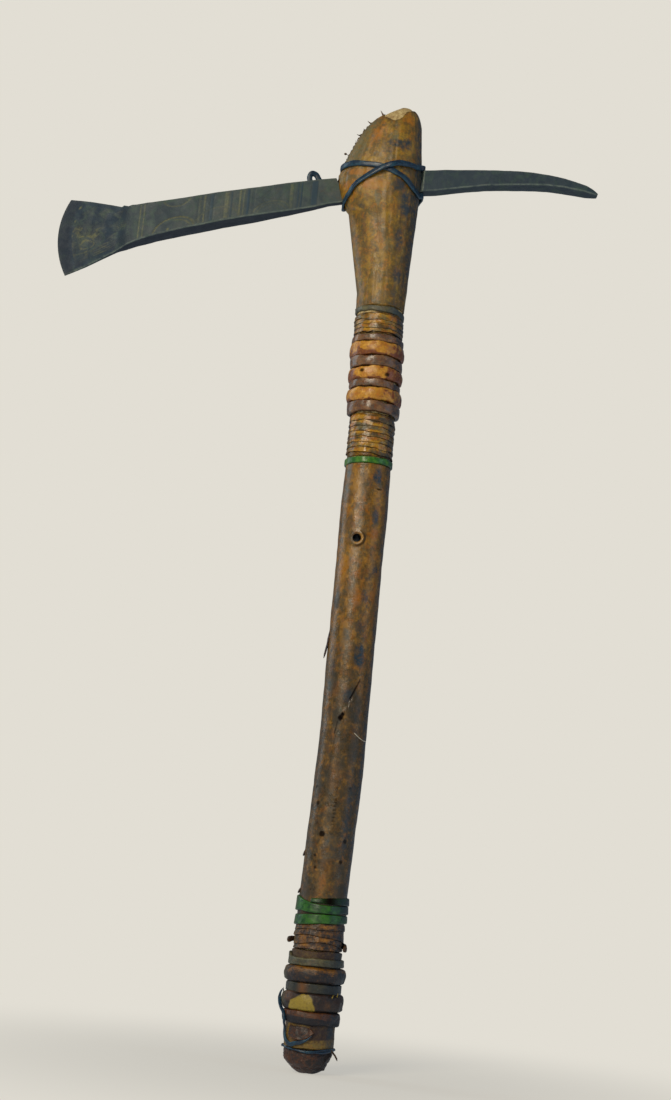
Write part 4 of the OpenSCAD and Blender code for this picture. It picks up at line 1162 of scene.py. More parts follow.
def grip():
    """The long cover of the grip, with the raised lip of the lanyard hole and its worn and torn places."""
    a = full_turn(200)
    def relief(a, z):
        side = HOLE_X + 0 * a
        near_front = np.cos(a - FRONT) > 0.5
        near_back = np.cos(a - FRONT) < -0.5
        x = haft_axis(z) + 14.2 * np.cos(a) - side
        r = np.hypot(x, z - HOLE_Z)
        lip = 0.75 * near(r, 3.9, 1.7) * (near_front | near_back) * (0.3 + 0.7 * smooth((x + 0.5 * (HOLE_Z - z) + 1.5) / 3))
        creases = 0.10 * value_noise(np.stack([np.cos(a) * 4, np.sin(a) * 4, z / 30], axis=-1), 8)
        swell = 0.45 * value_noise(np.stack([np.cos(a) * 0.8, np.sin(a) * 0.8, z / 34], axis=-1), 18)
        arc = front_angle(a)
        torn = near(z, 220, 17) * near(arc, 0.02 + (z - 210) * 0.018, 0.34)
        scar = torn * (0.55 * fractal(np.stack([a * 14, z * 0.8, 0 * a], axis=-1), 3.0, 77, 3))
        pit = -0.9 * torn * smooth((value_noise(np.stack([a * 9, z / 3.2, 0 * a], axis=-1), 33) - 0.45) / 0.2)
        slit = -0.7 * near(z - 351.6 - 0.4 * np.sin(arc * 9), 0, 0.7) * near(arc, 0.58, 0.2)
        wrinkles = 0.10 * np.abs(np.sin((z + 5 * np.sin(arc * 1.7) + 1.2 * swell) * TURN / 3.1))
        wrinkles = wrinkles * near(z, 270, 45) * near(arc, -0.2, 1.1)
        seam_arc = arc + 0.02
        seam = near(seam_arc, 0, 0.05) * smooth((z - 143) / 3) * smooth((164 - z) / 3)
        stitched = seam * (0.12 - 0.5 * smooth(np.cos(z * TURN / 2.1) * 2 - 1)) + wrinkles
        return lip + creases + swell + scar + pit + slit + stitched
    grid, across = wrap(a, GRIP_LOW + wavy(a, 0.3, 5), GRIP_HIGH + 0.5, 0.08, 1.0, rows=520, ease=0.9, bumps=0.16,
                        bump_size=8, seed=91, relief=relief)
    a_all, z = np.broadcast_to(a[:, None], across.shape), grid[..., 2]
    arc = front_angle(a_all)
    ragged = 0.3 * fractal(grid, 9, 55, 4)
    def blotted(*blots):
        return np.maximum.reduce([amount * smooth((near(arc, f, reach) * near(z, level, tall) + 1.2 * ragged - 0.12) / 0.5)
                                  for f, level, reach, tall, amount in blots])
    def dotted(*dots):
        """Small dark spots, each (angle from the front, height, radius, amount)."""
        return np.maximum.reduce([amount * smooth((radius + 0.35 * ragged - np.hypot((arc - f) * 14.4, z - level)) / 0.7)
                                  for f, level, radius, amount in dots])
    def scratched(f0, z0, f1, z1, half_width, amount):
        """A dark line over the hide between two places."""
        run = np.clip(((arc - f0) * (f1 - f0) * 207 + (z - z0) * (z1 - z0)) / ((f1 - f0) ** 2 * 207 + (z1 - z0) ** 2), 0, 1)
        away = np.hypot((arc - f0 - run * (f1 - f0)) * 14.4, z - z0 - run * (z1 - z0))
        return amount * smooth((half_width + 0.5 * ragged - away) / 0.5)
    stain = blotted((-0.6, 330, 0.35, 10, 0.6), (-0.92, 280, 0.4, 12, 0.85), (-0.3, 292, 0.3, 7, 0.4), (0.3, 250, 0.3, 8, 0.5),
                    (-0.7, 232, 0.4, 10, 0.7), (0.3, 215, 0.5, 16, 0.8), (-0.35, 208, 0.35, 10, 0.8), (-0.9, 168, 0.4, 14, 0.7),
                    (0.5, 190, 0.5, 14, 0.7), (-0.5, 175, 0.3, 10, 0.5), (-0.9, 110, 0.5, 12, 0.7), (0.75, 105, 0.5, 8, 0.8))
    # Painted shade on the pick side, with blue-dark spots (blue)
    blue = np.maximum(0.75 * smooth((arc + 0.3 * ragged - 0.78) / 0.4) * smooth((2.4 - arc) / 0.4),
                      blotted((0.44, 359, 0.35, 7, 1.0), (0.52, 334, 0.22, 6, 0.8), (0.78, 301, 0.3, 7, 0.8),
                              (0.34, 284, 0.25, 6, 0.6), (0.22, 264, 0.25, 8, 0.6), (0.33, 247.5, 0.34, 9, 1.0),
                              (-0.05, 222, 0.3, 6, 0.7), (-0.8, 240, 0.3, 8, 0.5), (0.7, 150, 0.4, 40, 0.6),
                              (0.55, 95, 0.5, 8, 0.8)))
    # Painted shade: the grip darker towards its bottom, lifted in two places (dusk)
    dusk = 0.8 * smooth((292 - z) / 90) * smooth((arc + 2.6) / 0.6) * smooth((2.6 - arc) / 0.6)
    dusk = dusk * (1 - 0.7 * blotted((-0.1, 108, 0.45, 16, 1.0), (-0.75, 296, 0.4, 12, 0.8)))
    warm = blotted((-0.7, 302, 0.4, 9, 0.8), (0.55, 322, 0.3, 7, 0.8), (0.0, 283, 0.35, 8, 0.7), (0.75, 285, 0.3, 8, 0.7),
                   (-0.55, 226, 0.25, 7, 0.7), (-0.2, 175, 0.35, 14, 0.5), (-0.1, 120, 0.42, 17, 0.55), (0.4, 200, 0.25, 8, 0.5))
    worn = blotted((-0.5, 355, 0.4, 10, 0.8), (-0.75, 300, 0.4, 16, 0.6), (-0.4, 262, 0.4, 12, 0.6), (0.08, 318, 0.2, 5, 0.7),
                   (-0.2, 312, 0.3, 9, 0.5), (-0.7, 205, 0.3, 12, 0.4))
    # Round the lanyard hole: a painted highlight inside the lip on the pick side (worn), a painted shadow on its outer
    # slope there (rim), and painted shade inside the hole's other side
    hole = np.hypot(grid[..., 0] - HOLE_X, z - HOLE_Z)
    towards = np.cos(np.arctan2(z - HOLE_Z, grid[..., 0] - HOLE_X) + 0.5)
    rim = near(hole, 4.9, 1.2) * smooth((towards + 0.1) / 0.7)
    worn = np.maximum(worn, smooth((4.3 - hole) / 0.6) * smooth((towards + 0.1) / 0.5)) * (1 - rim)
    row = near(arc, 0.0, 0.11) * smooth((z - 144) / 2) * smooth((162 - z) / 2)
    # Painted shade in the short cut high on the grip and in the torn hole (the first two dotted spots)
    dark = np.maximum.reduce([
        0.9 * near(z - 351.6 - 0.4 * np.sin(arc * 9), 0, 0.8) * near(arc, 0.58, 0.2), 0.4 * smooth((100 - z) / 5),
        0.75 * rim, 0.5 * smooth((4.0 - hole) / 1.0) * smooth((-towards) / 0.5),
        dotted((-0.21, 208.4, 2.0, 1.0), (-0.12, 210.6, 1.6, 1.0), (-0.8, 156.8, 1.7, 0.8), (-0.39, 138.8, 2.2, 0.9),
               (-1.02, 166.6, 1.2, 0.7), (0.65, 135.4, 1.8, 0.7), (0.57, 123.2, 1.6, 0.8), (0.56, 167, 1.2, 0.6),
               (-0.6, 126, 1.2, 0.8), (-0.52, 119, 1.4, 0.8), (-0.56, 122.5, 0.9, 0.8), (-0.7, 145, 0.9, 0.6),
               (-0.95, 112, 1.1, 0.6), (-0.62, 106, 0.9, 0.6), (0.1, 188, 0.9, 0.5), (-0.75, 182, 1.1, 0.6)),
        scratched(0.48, 232.4, 0.12, 220.5, 0.75, 0.9), scratched(-0.31, 206.4, -0.4, 199, 0.6, 0.8),
        scratched(-0.35, 198, -0.48, 176, 0.45, 0.5), scratched(-0.62, 268, -0.66, 256, 0.5, 0.5),
        0.8 * row * smooth(np.cos(z * TURN / 2.1) * 2 + 0.2 * ragged)])
    pale_bits = blotted((-0.23, 213.3, 0.12, 2.5, 1.0), (-0.05, 216, 0.1, 2, 0.7))
    worn = np.maximum(worn, pale_bits)
    # ash: the raised pale bits, and a painted rim sheen on the blade-side edge low on the grip
    values = {"stain": stain, "dark": dark, "blue": blue, "dusk": dusk, "worn": worn, "warm": warm,
              "ash": np.maximum(pale_bits, 0.75 * near(arc, -1.5, 0.42) * smooth((250 - z) / 20))}
    piece = Build().add(grid, True, values).piece("grip_cover", M["grip"], ["grip_hide"])
    apply_boolean(piece, cutter_rod((HOLE_X, 0, HOLE_Z), HOLE_R, 40), "DIFFERENCE")


def grip_scraps():
    """A sliver of hide that stands off the blade side of the grip, and a loose pale fibre on the front."""
    build = Build()
    for degrees, top, bottom, lift, width in ((-174, 262, 245, 2.1, 4.2), (-176, 129, 125, 0.9, 2.0), (-174, 107, 103, 1.3, 1.6)):
        t = np.linspace(0, 1, 26)
        z = top + (bottom - top) * t
        a = math.radians(degrees) + 0.05 * np.sin(t * 5)
        path = on_haft(a + 0 * t, z, 0.9 + lift * t ** 1.6)
        normals = path - np.column_stack([haft_axis(z), 0 * z, z])
        shape = np.sqrt(np.clip(np.minimum(t * 3, (1 - t) * 7), 0.03, 1)) * (1 + 0.2 * fractal(path, 2, 88))
        build.add(strap(path, normals, width * shape, 1.1 * shape, 12)[0], False)
    build.piece("grip_slivers", M["umber"])
    t = np.linspace(0, 1, 40)
    path = on_haft(0.44 + FRONT + 0.82 * t, 200.2 - 3.7 * t - 1.6 * np.sin(math.pi * t), 1.25 + 0.5 * np.sin(math.pi * t))
    normals = path - np.column_stack([haft_axis(path[:, 2]), 0 * t, path[:, 2]])
    Build().add(strap(path, normals, 0.45, 0.4, 8)[0], False).piece("grip_fibre", M["fibre"])


def grip_stitches():
    """The seam down the back; the mending on the front is only relief and paint on the grip cover."""
    build = Build()
    rng = np.random.default_rng(11)
    for z in np.arange(GRIP_LOW + 18, GRIP_HIGH - 4, 4.2):
        spread = np.linspace(-0.17, 0.17, 11)
        path = on_haft(math.pi / 2 + spread, z + rng.uniform(-0.3, 0.3) + 4.5 * spread,
                       1.35 + 0.35 - 0.75 * np.abs(spread / 0.17) ** 4)
        normals = path - np.array([haft_axis(z), 0, z])
        build.add(strap(path, normals, 0.8, 0.6, 8)[0], False)
    build.piece("grip_seam_thread", M["sinew"], ["grip_stitches"])


grip()
grip_scraps()
grip_stitches()


# ---- lower bindings -------------------------------------------------------------------------------------------

def traced_strip(build, course_rows, base, height, seed, cols_per_turn=200, wander=0.15, paint=None, **shape):
    """Adds a strip that follows course_rows of (angle in degrees, lower edge, upper edge); angles run on past a turn."""
    course = Curve(course_rows)
    degrees = np.linspace(course.x[0], course.x[-1], int(cols_per_turn * (course.x[-1] - course.x[0]) / 360))
    a = np.radians(degrees)
    low = course(degrees, 0) + wavy(a, wander, seed, drift=0.4)
    high = course(degrees, 1) + wavy(a, wander, seed + 50, drift=0.4)
    grid, across = wrap(a, low, high, base, height, seed=seed, **shape)
    around_all = np.broadcast_to(a[:, None], across.shape)
    # blue: painted shade on the pick side
    values = {"blue": side_shade(around_all)}
    if paint is not None:
        values.update(paint(around_all, grid[..., 2], across))
    return build.add(grid, False, values)


GREEN_COURSE = [(-478, 98.4, 100.8), (-450, 98.2, 101.4), (-405, 98.0, 102.1), (-360, 97.8, 102.6),
                (-270, 96.3, 102.8), (-196, 93.4, 102.2), (-164, 92.9, 101.7), (-141, 93.1, 99.8),
                (-120, 92.5, 98.5), (-90, 92.3, 97.5), (-58, 92.4, 97.3), (-24, 92.8, 97.9), (0, 92.6, 97.8),
                (90, 88.9, 94.6), (180, 84.8, 91.0), (210, 84.9, 91.0), (240, 85.5, 91.6), (270, 86.4, 92.0),
                (300, 86.8, 92.1), (337, 87.2, 92.3), (360, 87.3, 92.3), (430, 87.3, 92.0)]
LOWER_COURSE = [(-175, 81.6, 85.3), (-121, 82.6, 86.2), (-90, 82.6, 86.7), (-20, 83.0, 87.2), (90, 80.3, 84.6),
                (201, 78.3, 82.5), (239, 79.4, 83.3), (270, 78.7, 83.3), (312, 77.5, 83.5), (344, 76.0, 83.6),
                (450, 74.8, 79.6), (561, 73.2, 78.9), (599, 74.1, 80.0), (630, 75.0, 79.3), (652, 75.0, 79.3),
                (680, 74.0, 78.4), (704, 72.6, 76.8), (810, 71.2, 75.6), (915, 70.8, 74.4), (956, 71.0, 75.0),
                (990, 70.9, 75.8), (1011, 70.9, 75.7), (1047, 70.9, 74.2), (1110, 70.9, 73.8)]


def lower_bindings():
    build = Build()
    def green_paint(a, z, across):
        front = front_angle(a)
        # hidden: painted shade on the top of the turn on the pick side; teal: painted shade on the pick side, laid as
        # stain
        upper_shade = smooth((z - 97.4) / 1.0) * near(front, 0.25, 0.75)
        edge = smooth((across - 0.86) / 0.08) * smooth((1 - across) / 0.03)
        teal = smooth((front - 0.35) / 0.5) * smooth((z - 91.5) / 1.5)
        # worn: wear along the upper edge and a painted highlight on the lower turn's front; dark: painted shadow along
        # the lower edge; ash: painted rim sheen
        return {"worn": 0.8 * edge + 0.6 * smooth((92.0 - z) / 1.5) * near(front, 0.0, 0.9), "stain": 0.85 * teal,
                "ash": 0.55 * near(front, -1.5, 0.45), "dark": np.maximum(0.5 * smooth((0.08 - across) / 0.06), upper_shade)}
    traced_strip(build, GREEN_COURSE, 1.25, 1.3, 101, tilt=0.5, bumps=0.12, rows=22, ease=0.7, paint=green_paint)
    build.piece("green_wrap_looks", M["green_deep"], ["green_wrap"])

    build = Build()
    def worn_paint(a, z, across):
        front = front_angle(a)
        spots = value_noise(np.stack([np.cos(a) * 4, np.sin(a) * 4, z / 2.6], axis=-1), 12)
        bright = np.maximum.reduce([near(front, 0.3, 0.55) * near(z, 84.6, 1.8), near(front, 0.2, 0.5) * near(z, 77.2, 1.8),
                                    near(front, -0.75, 0.3) * near(z, 78.0, 2.4), near(front, -0.6, 0.25) * near(z, 74, 2)])
        purple = np.maximum.reduce([near(front, -0.45, 0.5) * near(z, 80.6, 1.8), near(front, -0.25, 0.35) * near(z, 74.6, 1.6),
                                    near(front, 0.75, 0.6) * near(z, 79.4, 1.6)])
        # dark: painted shadow along each turn's lower edge; ash: painted rim sheen on the blade-side edge
        return {"worn": np.clip(1.2 * bright + 0.4 * smooth((spots - 0.4) / 0.3), 0, 1), "stain": 0.9 * purple,
                "ash": 0.35 * near(front, -1.35, 0.6), "dark": 0.75 * smooth((0.16 - across) / 0.12)}
    traced_strip(build, LOWER_COURSE, 0.15, 1.5, 131, tilt=0.75, bumps=0.4, bump_size=3.2, rows=20, ease=0.6,
                 wander=0.3, paint=worn_paint)
    build.piece("lower_wrap_looks", M["worn"], ["lower_wrap"])


def frayed_end(name, points, widths, thick, seed):
    """A short strap that runs through points given as (angle in degrees, height, offset) and ends in a knob."""
    where = np.array(points, float)
    path = resample(on_haft(np.radians(where[:, 0]), where[:, 1], where[:, 2]), 46)
    path = path + 0.15 * fractal(path, 3, seed)[:, None]
    normals = path - np.column_stack([haft_axis(path[:, 2]), 0 * path[:, 0], path[:, 2]])
    t = np.linspace(0, 1, len(path))
    width = np.interp(t, np.linspace(0, 1, len(widths)), widths) * (1 + 0.12 * fractal(path, 1.6, seed + 1))
    close = np.sqrt(np.clip(np.minimum(t, 1 - t) * 9, 0.02, 1))
    grid, across = strap(path, normals, width * close, thick * close, 16)
    grid = grid + 0.12 * fractal(grid, 1.2, seed + 2)[..., None]
    Build().add(grid, False, {"stain": 0.6 + 0 * across}).piece(name + "_looks", M["worn"], [name])


def butt_layers():
    def underlay_paint(a, z, across):
        front = front_angle(a)
        purple = smooth((front + 0.15) / 0.2) * smooth((1.3 - front) / 0.2) * smooth((z - 19.0 - 1.2 * front) / 1.0)
        neck = smooth((z - 60) / 2)
        return {"stain": np.maximum(purple, 0.8 * neck), "worn": 0.3 * smooth((19 - z) / 2) * (1 - neck)}
    ring("butt_underlay", 14.5, 70.7, 0.1, 2.1, M["cream"], wander=0.3, seed=151, rows=110, bumps=0.3, bump_size=6,
         paint=underlay_paint, cols=200)
    a = full_turn(240)
    low = 61.6 + wavy(a, 0.25, 161)
    high = 66.3 + wavy(a, 0.25, 162) + 2.8 * around(a, BLADE_SIDE, 0.4)
    def grey_paint(front, across):
        edge = smooth((across - 0.78) / 0.1) * smooth((1 - across) / 0.03)
        # blue: the pick side's painted shade; dark: painted shadow along the lower edge, and darker on the blade side
        return {"worn": 0.8 * edge * smooth((front + 1.2) / 0.4), "stain": 0.8 * near(front, 0.75, 0.6),
                "blue": side_shade(front + FRONT), "dark": 0.6 * smooth((0.1 - across) / 0.08) + 0.35 * near(front, -math.pi / 2, 0.3)}
    grid, across = wrap(a, low, high, 2.3, 1.65, rows=20, bumps=0.25, bump_size=5, seed=163, tilt=0.3)
    values = grey_paint(np.broadcast_to(front_angle(a)[:, None], across.shape), across)
    Build().add(grid, True, values).piece("grey_band_looks", M["grey"], ["grey_band"])

    def pad_paint(a, z, across):
        front = front_angle(a)
        ragged = 0.2 * value_noise(np.stack([np.cos(a) * 4, np.sin(a) * 4, z / 3], axis=-1), 17)
        purple = smooth((0.72 + 0.10 * front + ragged - across) / 0.14) * smooth((front + 1.9) / 0.3)
        # ash: painted rim sheen on the blade-side edge
        return {"stain": 0.95 * purple, "worn": 0.7 * smooth((across - 0.7) / 0.15) * smooth((front + 0.9) / 0.3),
                "ash": 0.55 * near(front, -1.45, 0.5)}
    ring("padded_ring", 51.9, 61.3, 2.3, 2.3, M["worn"], wander=0.35, seed=171, rows=40, bumps=0.35, bump_size=5,
         crown=1.35, ease=1.4, slant=0.5, paint=pad_paint)

    def thin_paint(a, z, across):
        front = front_angle(a)
        # stain: painted shade on the pick side; dark: painted shadow along the lower edge
        return {"worn": 0.2 * smooth((across - 0.8) / 0.1), "stain": 0.9 * near(front, 0.65, 0.45),
                "dark": 0.5 * smooth((0.1 - across) / 0.08), "tan": near(front, -0.42, 0.3)}
    ring("thin_band", 46.0, 52.0, 2.3, 1.6, M["grey_tan"], wander=0.25, seed=181, rows=24, bumps=0.25,
         bump_size=5, slant=0.2, paint=thin_paint)


def inside(polygon, x, y):
    """Signed softness: positive inside the convex polygon, measured to its nearest edge."""
    nearest = np.full(np.broadcast(x, y).shape, 1e9)
    for (x0, y0), (x1, y1) in zip(polygon, polygon[1:] + polygon[:1]):
        length = math.hypot(x1 - x0, y1 - y0)
        nearest = np.minimum(nearest, ((x1 - x0) * (y - y0) - (y1 - y0) * (x - x0)) / length)
    return nearest


# Bare cream patch on the lower pale ring: (degrees from the front, height)
CREAM_PATCH = [(-52, 36.0), (8, 35.6), (4, 39.4), (-2, 43.4), (-8, 45.4), (-18, 45.9), (-29, 44.8), (-40, 42.4), (-49, 39.4)]


def butt_rings():
    def pale_paint(a, z, across):
        front = np.degrees(front_angle(a))
        ragged = 0.9 * fractal(np.stack([np.cos(a) * 15, np.sin(a) * 15, z], axis=-1), 2.6, 27)
        patch = [(degrees * 0.32, height) for degrees, height in CREAM_PATCH]
        cream = smooth(inside(patch, front * 0.32, z) / 0.7 + 0.3 + 0.8 * ragged)
        orange = near(front, -58, 30) * smooth((z - 40) / 3) + near(front, 30, 12) * near(z, 40, 3.5)
        # ash: painted rim sheen on the blade-side edge
        return {"cream": cream, "worn": np.clip(orange, 0, 1) * (1 - cream), "stain": (1 - cream) * (1 - orange) * 0.8,
                "ash": 0.5 * near(front, -78, 22)}
    a = full_turn(240)
    low, high = 36.1 + wavy(a, 0.3, 191), 46.2 + wavy(a, 0.35, 192) + 0.6 * around(a, -2.6, 0.6)
    grid, across = wrap(a, low, high, 2.3, 2.6, rows=44, bumps=0.35, bump_size=5, seed=193, crown=1.1, ease=1.3)
    build = Build().add(grid, True, pale_paint(np.broadcast_to(a[:, None], across.shape), grid[..., 2], across))
    for degrees, z, length, lean, cream in ((-59, 44.6, 2.3, 1.0, 0), (-52, 44.4, 2.2, 0.8, 1), (-44, 45.2, 2.4, -0.5, 0),
                                            (-38, 45.4, 2.2, -0.6, 1), (-172, 45.6, 2.0, 1.6, 0)):
        foot = on_haft(math.radians(degrees), z, 5.2)
        out = (math.cos(math.radians(degrees)) * 0.5 + 0.25 * lean, math.sin(math.radians(degrees)) * 0.5, 1.0)
        thorn(build, foot, out, length, 0.42, values={"cream": cream, "stain": 1.0 - cream, "dark": 0.6 * (1 - cream)})
    build.piece("pale_ring_4_looks", M["patched"], ["pale_ring_4"])

    def brown_paint(a, z, across):
        front = front_angle(a)
        line_z = 32.0 - 0.9 * front
        ragged = 0.3 * value_noise(np.stack([np.cos(a) * 5, np.sin(a) * 5, z / 2], axis=-1), 37)
        upper = smooth((z - line_z + ragged) / 0.6)
        # dark: painted shadow low on the pick side
        return {"worn": 0.9 * upper * smooth((0.9 - front) / 0.5), "stain": 1 - upper,
                "dark": 0.6 * smooth((front - 0.5) / 0.5) * smooth((31 - z) / 2)}
    ring("brown_band", 28.1, 35.9, 2.3, 2.0, M["umber"], wander=0.35, seed=201, rows=34, bumps=0.3, bump_size=5,
         crown=0.55, ease=1.2, slant=0.8, paint=brown_paint)


def loose_flap():
    """The lifted scrap on the front, its lower and right edges curling away."""
    outline = Curve([(-140, 21.6, 27.2), (-136, 21.2, 27.3), (-123, 19.7, 27.2), (-106, 19.3, 27.2), (-99, 20.0, 27.0),
                     (-91, 21.4, 26.4), (-84, 23.3, 25.3), (-82, 24.0, 24.7)])
    degrees = np.linspace(-140, -82, 90)
    a = np.radians(degrees)
    curl = 1.3 * smooth((degrees + 104) / 22) ** 2
    low = outline(degrees, 0) + wavy(a * 3, 0.25, 211)
    high = outline(degrees, 1) + wavy(a * 3, 0.2, 212)
    def relief(a, z):
        return 0.35 * value_noise(np.stack([a * 7, z / 2.4, 0 * z + 0 * a], axis=-1), 47)
    grid, across = wrap(a, low, high, 2.45 + curl, 0.85, rows=34, bumps=0.25, bump_size=3, seed=213, ease=0.5,
                        tilt=0.9, relief=relief)
    rim = np.maximum(smooth((0.16 - across) / 0.1), smooth((degrees + 94) / 8)[:, None])
    Build().add(grid, False, {"worn": 0.8 * rim, "dark": 0.0 * rim}).piece("loose_flap_looks", M["umber"], ["loose_flap"])


def butt_thong():
    course = [(-170, 47.0, 5.9), (-176, 44.6, 6.7), (-180, 42.4, 7.0), (-174, 39.4, 6.8), (-164, 36.4, 6.2),
              (-154, 33.6, 5.6), (-150, 30.8, 5.5), (-151, 28.0, 5.1), (-155, 25.6, 3.8), (-157, 22.0, 3.3),
              (-149, 18.4, 3.2), (-134, 16.4, 3.2), (-120, 17.4, 3.3), (-105, 18.5, 3.5), (-93, 20.4, 3.9),
              (-86, 22.6, 4.3)]
    where = np.array(course, float)
    path = resample(on_haft(np.radians(where[:, 0]), where[:, 1], where[:, 2]), 190)
    normals = path - np.column_stack([haft_axis(path[:, 2]), 0 * path[:, 0], path[:, 2]])
    t = np.linspace(0, 1, len(path))
    width = np.interp(t, [0, 0.06, 0.3, 0.5, 0.62, 0.74, 0.9, 1], [0.5, 1.3, 1.5, 1.9, 2.6, 2.6, 1.6, 0.5])
    width *= 1 + 0.10 * fractal(path, 3, 221)
    thick = np.interp(t, [0, 0.06, 0.12, 0.34, 0.44, 0.9, 1], [0.5, 1.2, 1.9, 1.9, 1.2, 1.1, 0.5])
    grid, across = strap(path, normals, width, thick, 16)
    light = smooth((np.abs(across * 2 - 1) - 0.6) / 0.3) * near(t[:, None], 0.66, 0.22)
    Build().add(grid, False, {"worn": light}).piece("butt_thong_looks", M["thong"], ["butt_thong"])


def butt_cord():
    """A thin cord round the end, slack on the front and bunched at its knot on the pick side."""
    build = Build()
    for strand, (drop, lift, seed) in enumerate(((0.0, 0.0, 231), (0.9, 0.25, 232))):
        degrees = np.linspace(0, 360, 260, endpoint=False)
        front = (degrees + 90 + 180) % 360 - 180
        z = 14.9 - 1.5 * np.exp(-((front + 8) / 38) ** 2) - drop * np.exp(-((front - 30) / 30) ** 2) - 0.25 * strand
        a = np.radians(degrees)
        path = on_haft(a, z + wavy(a, 0.2, seed, 3), 2.95 + lift + wavy(a, 0.12, seed + 9, 3))
        path = np.concatenate([path, path[:1]])
        normals = np.column_stack([np.cos(np.append(a, a[0])), np.sin(np.append(a, a[0])), 0 * path[:, 0]])
        size = np.interp(np.abs(front - 42), [0, 14, 30], [1.5, 1.15, 0.85])
        size = np.append(size, size[0])
        grid, across = strap(path, normals, size, size, 12)
        build.add(grid[:-1], True, {"worn": 0.0 * across[:-1]})
    build.piece("butt_cord_looks", M["thong"], ["butt_cord"])
    where = [(12.6, -9.0, 15.0), (13.6, -8.2, 14.2), (14.8, -7.0, 13.0), (16.0, -5.8, 11.6), (16.9, -5.0, 10.2),
             (17.5, -4.4, 8.8)]
    path = resample(where, 50)
    path = path + 0.12 * fractal(path, 2, 241)[:, None]
    t = np.linspace(0, 1, len(path))
    width = np.interp(t, [0, 0.1, 0.5, 0.85, 1], [0.4, 1.7, 1.5, 1.6, 0.5])
    grid, across = strap(path, np.tile([0.7, -0.3, 0.65], (len(path), 1)), width, width * 0.6, 14)
    Build().add(grid, False, {"dark": 0.5 * (1 - t)[:, None]}).piece("butt_cord_end_looks", M["sinew"], ["butt_cord_end"])


def butt_cap():
    """Rough hide drawn in under the end of the haft."""
    outer = resample([(0.05, 0, 0.3)] + [(r, 0, z) for z, r in BUTT_ROUND], 70)
    inner = np.array([(r - 1.2, 0, z + (z < 2) * 0.9) for z, r in BUTT_ROUND[::-1]] + [(0.05, 0, 1.2)])
    profile = np.vstack([outer, inner])
    a = full_turn(180)[None, :]
    r, z = profile[:, :1], profile[:, 2:]
    grid = np.stack([r * np.cos(a), r * np.sin(a), z + 0 * a], axis=-1)
    skin = np.append(np.ones(len(outer)), np.zeros(len(inner)))[:, None] * smooth((14.2 - z) / 1.0)
    lumps = 0.55 * fractal(grid, 6.5, 251, 4) + 0.35 * near(value_noise(grid / 2.4, 252), 0, 0.16) - 0.15
    drawn_in = -1.1 * near(z, 6.0, 5.0) * near((a + math.pi) % TURN - math.pi, -0.1, 0.9)
    fuller = 1.0 * near(z, 3.2, 4.4) * near((a - 0.2 + math.pi) % TURN - math.pi, -0.5, 1.3)
    fuller = fuller + 0.7 * near(z, 8.5, 4.0) * near((a + TURN) % TURN - math.pi, 0, 0.8)
    push = skin * np.maximum(lumps + drawn_in + fuller, -1.1) * smooth(r / 4)
    direction = np.stack([np.cos(a) + 0 * z, np.sin(a) + 0 * z, -smooth((5 - z) / 5) * 0.6 + 0 * a], axis=-1)
    grid = grid + direction * push[..., None] * np.where(r > 9, 1, 0.4)[..., None]
    grid[..., 2] = np.maximum(grid[..., 2], 0.02)
    front = front_angle(a) + 0 * z
    # Painted light: shade on the pick side (stain and dark), a lighter blade side (worn), and painted shade along the
    # top, under the cord (dark)
    values = {"stain": 0.75 * smooth((front - 0.1) / 0.6) * smooth((2.6 - front) / 0.6), "worn": 0.35 * near(front, -0.9, 0.7),
              "dark": np.maximum(0.6 * smooth((z - 12.6) / 1.0) + 0 * a, 0.5 * near(front, 0.9, 0.4))}
    Build().add(grid, False, values).piece("butt_cap_looks", M["umber"], ["butt_cap"])


lower_bindings()
frayed_end("wrap_end_blade_side", [(-215, 76.5, 1.6), (-198, 76.4, 2.4), (-187, 76.0, 3.4), (-181, 75.5, 4.8),
                                   (-178, 75.1, 5.6)], [2.6, 2.8, 3.1, 3.4, 3.2], 2.1, 141)
frayed_end("wrap_end_pick_side", [(18, 74.6, 1.7), (4, 74.3, 2.4), (-6, 73.8, 3.4), (-14, 73.0, 4.0), (-24, 72.4, 3.2)],
           [2.6, 3.2, 3.8, 3.8, 3.2], 1.7, 145)
butt_layers()
butt_rings()
loose_flap()
butt_thong()
butt_cord()
butt_cap()


# ---- floor, light and camera -------------------------------------------------------------------------------------

PALE = rgb(226, 222, 212)


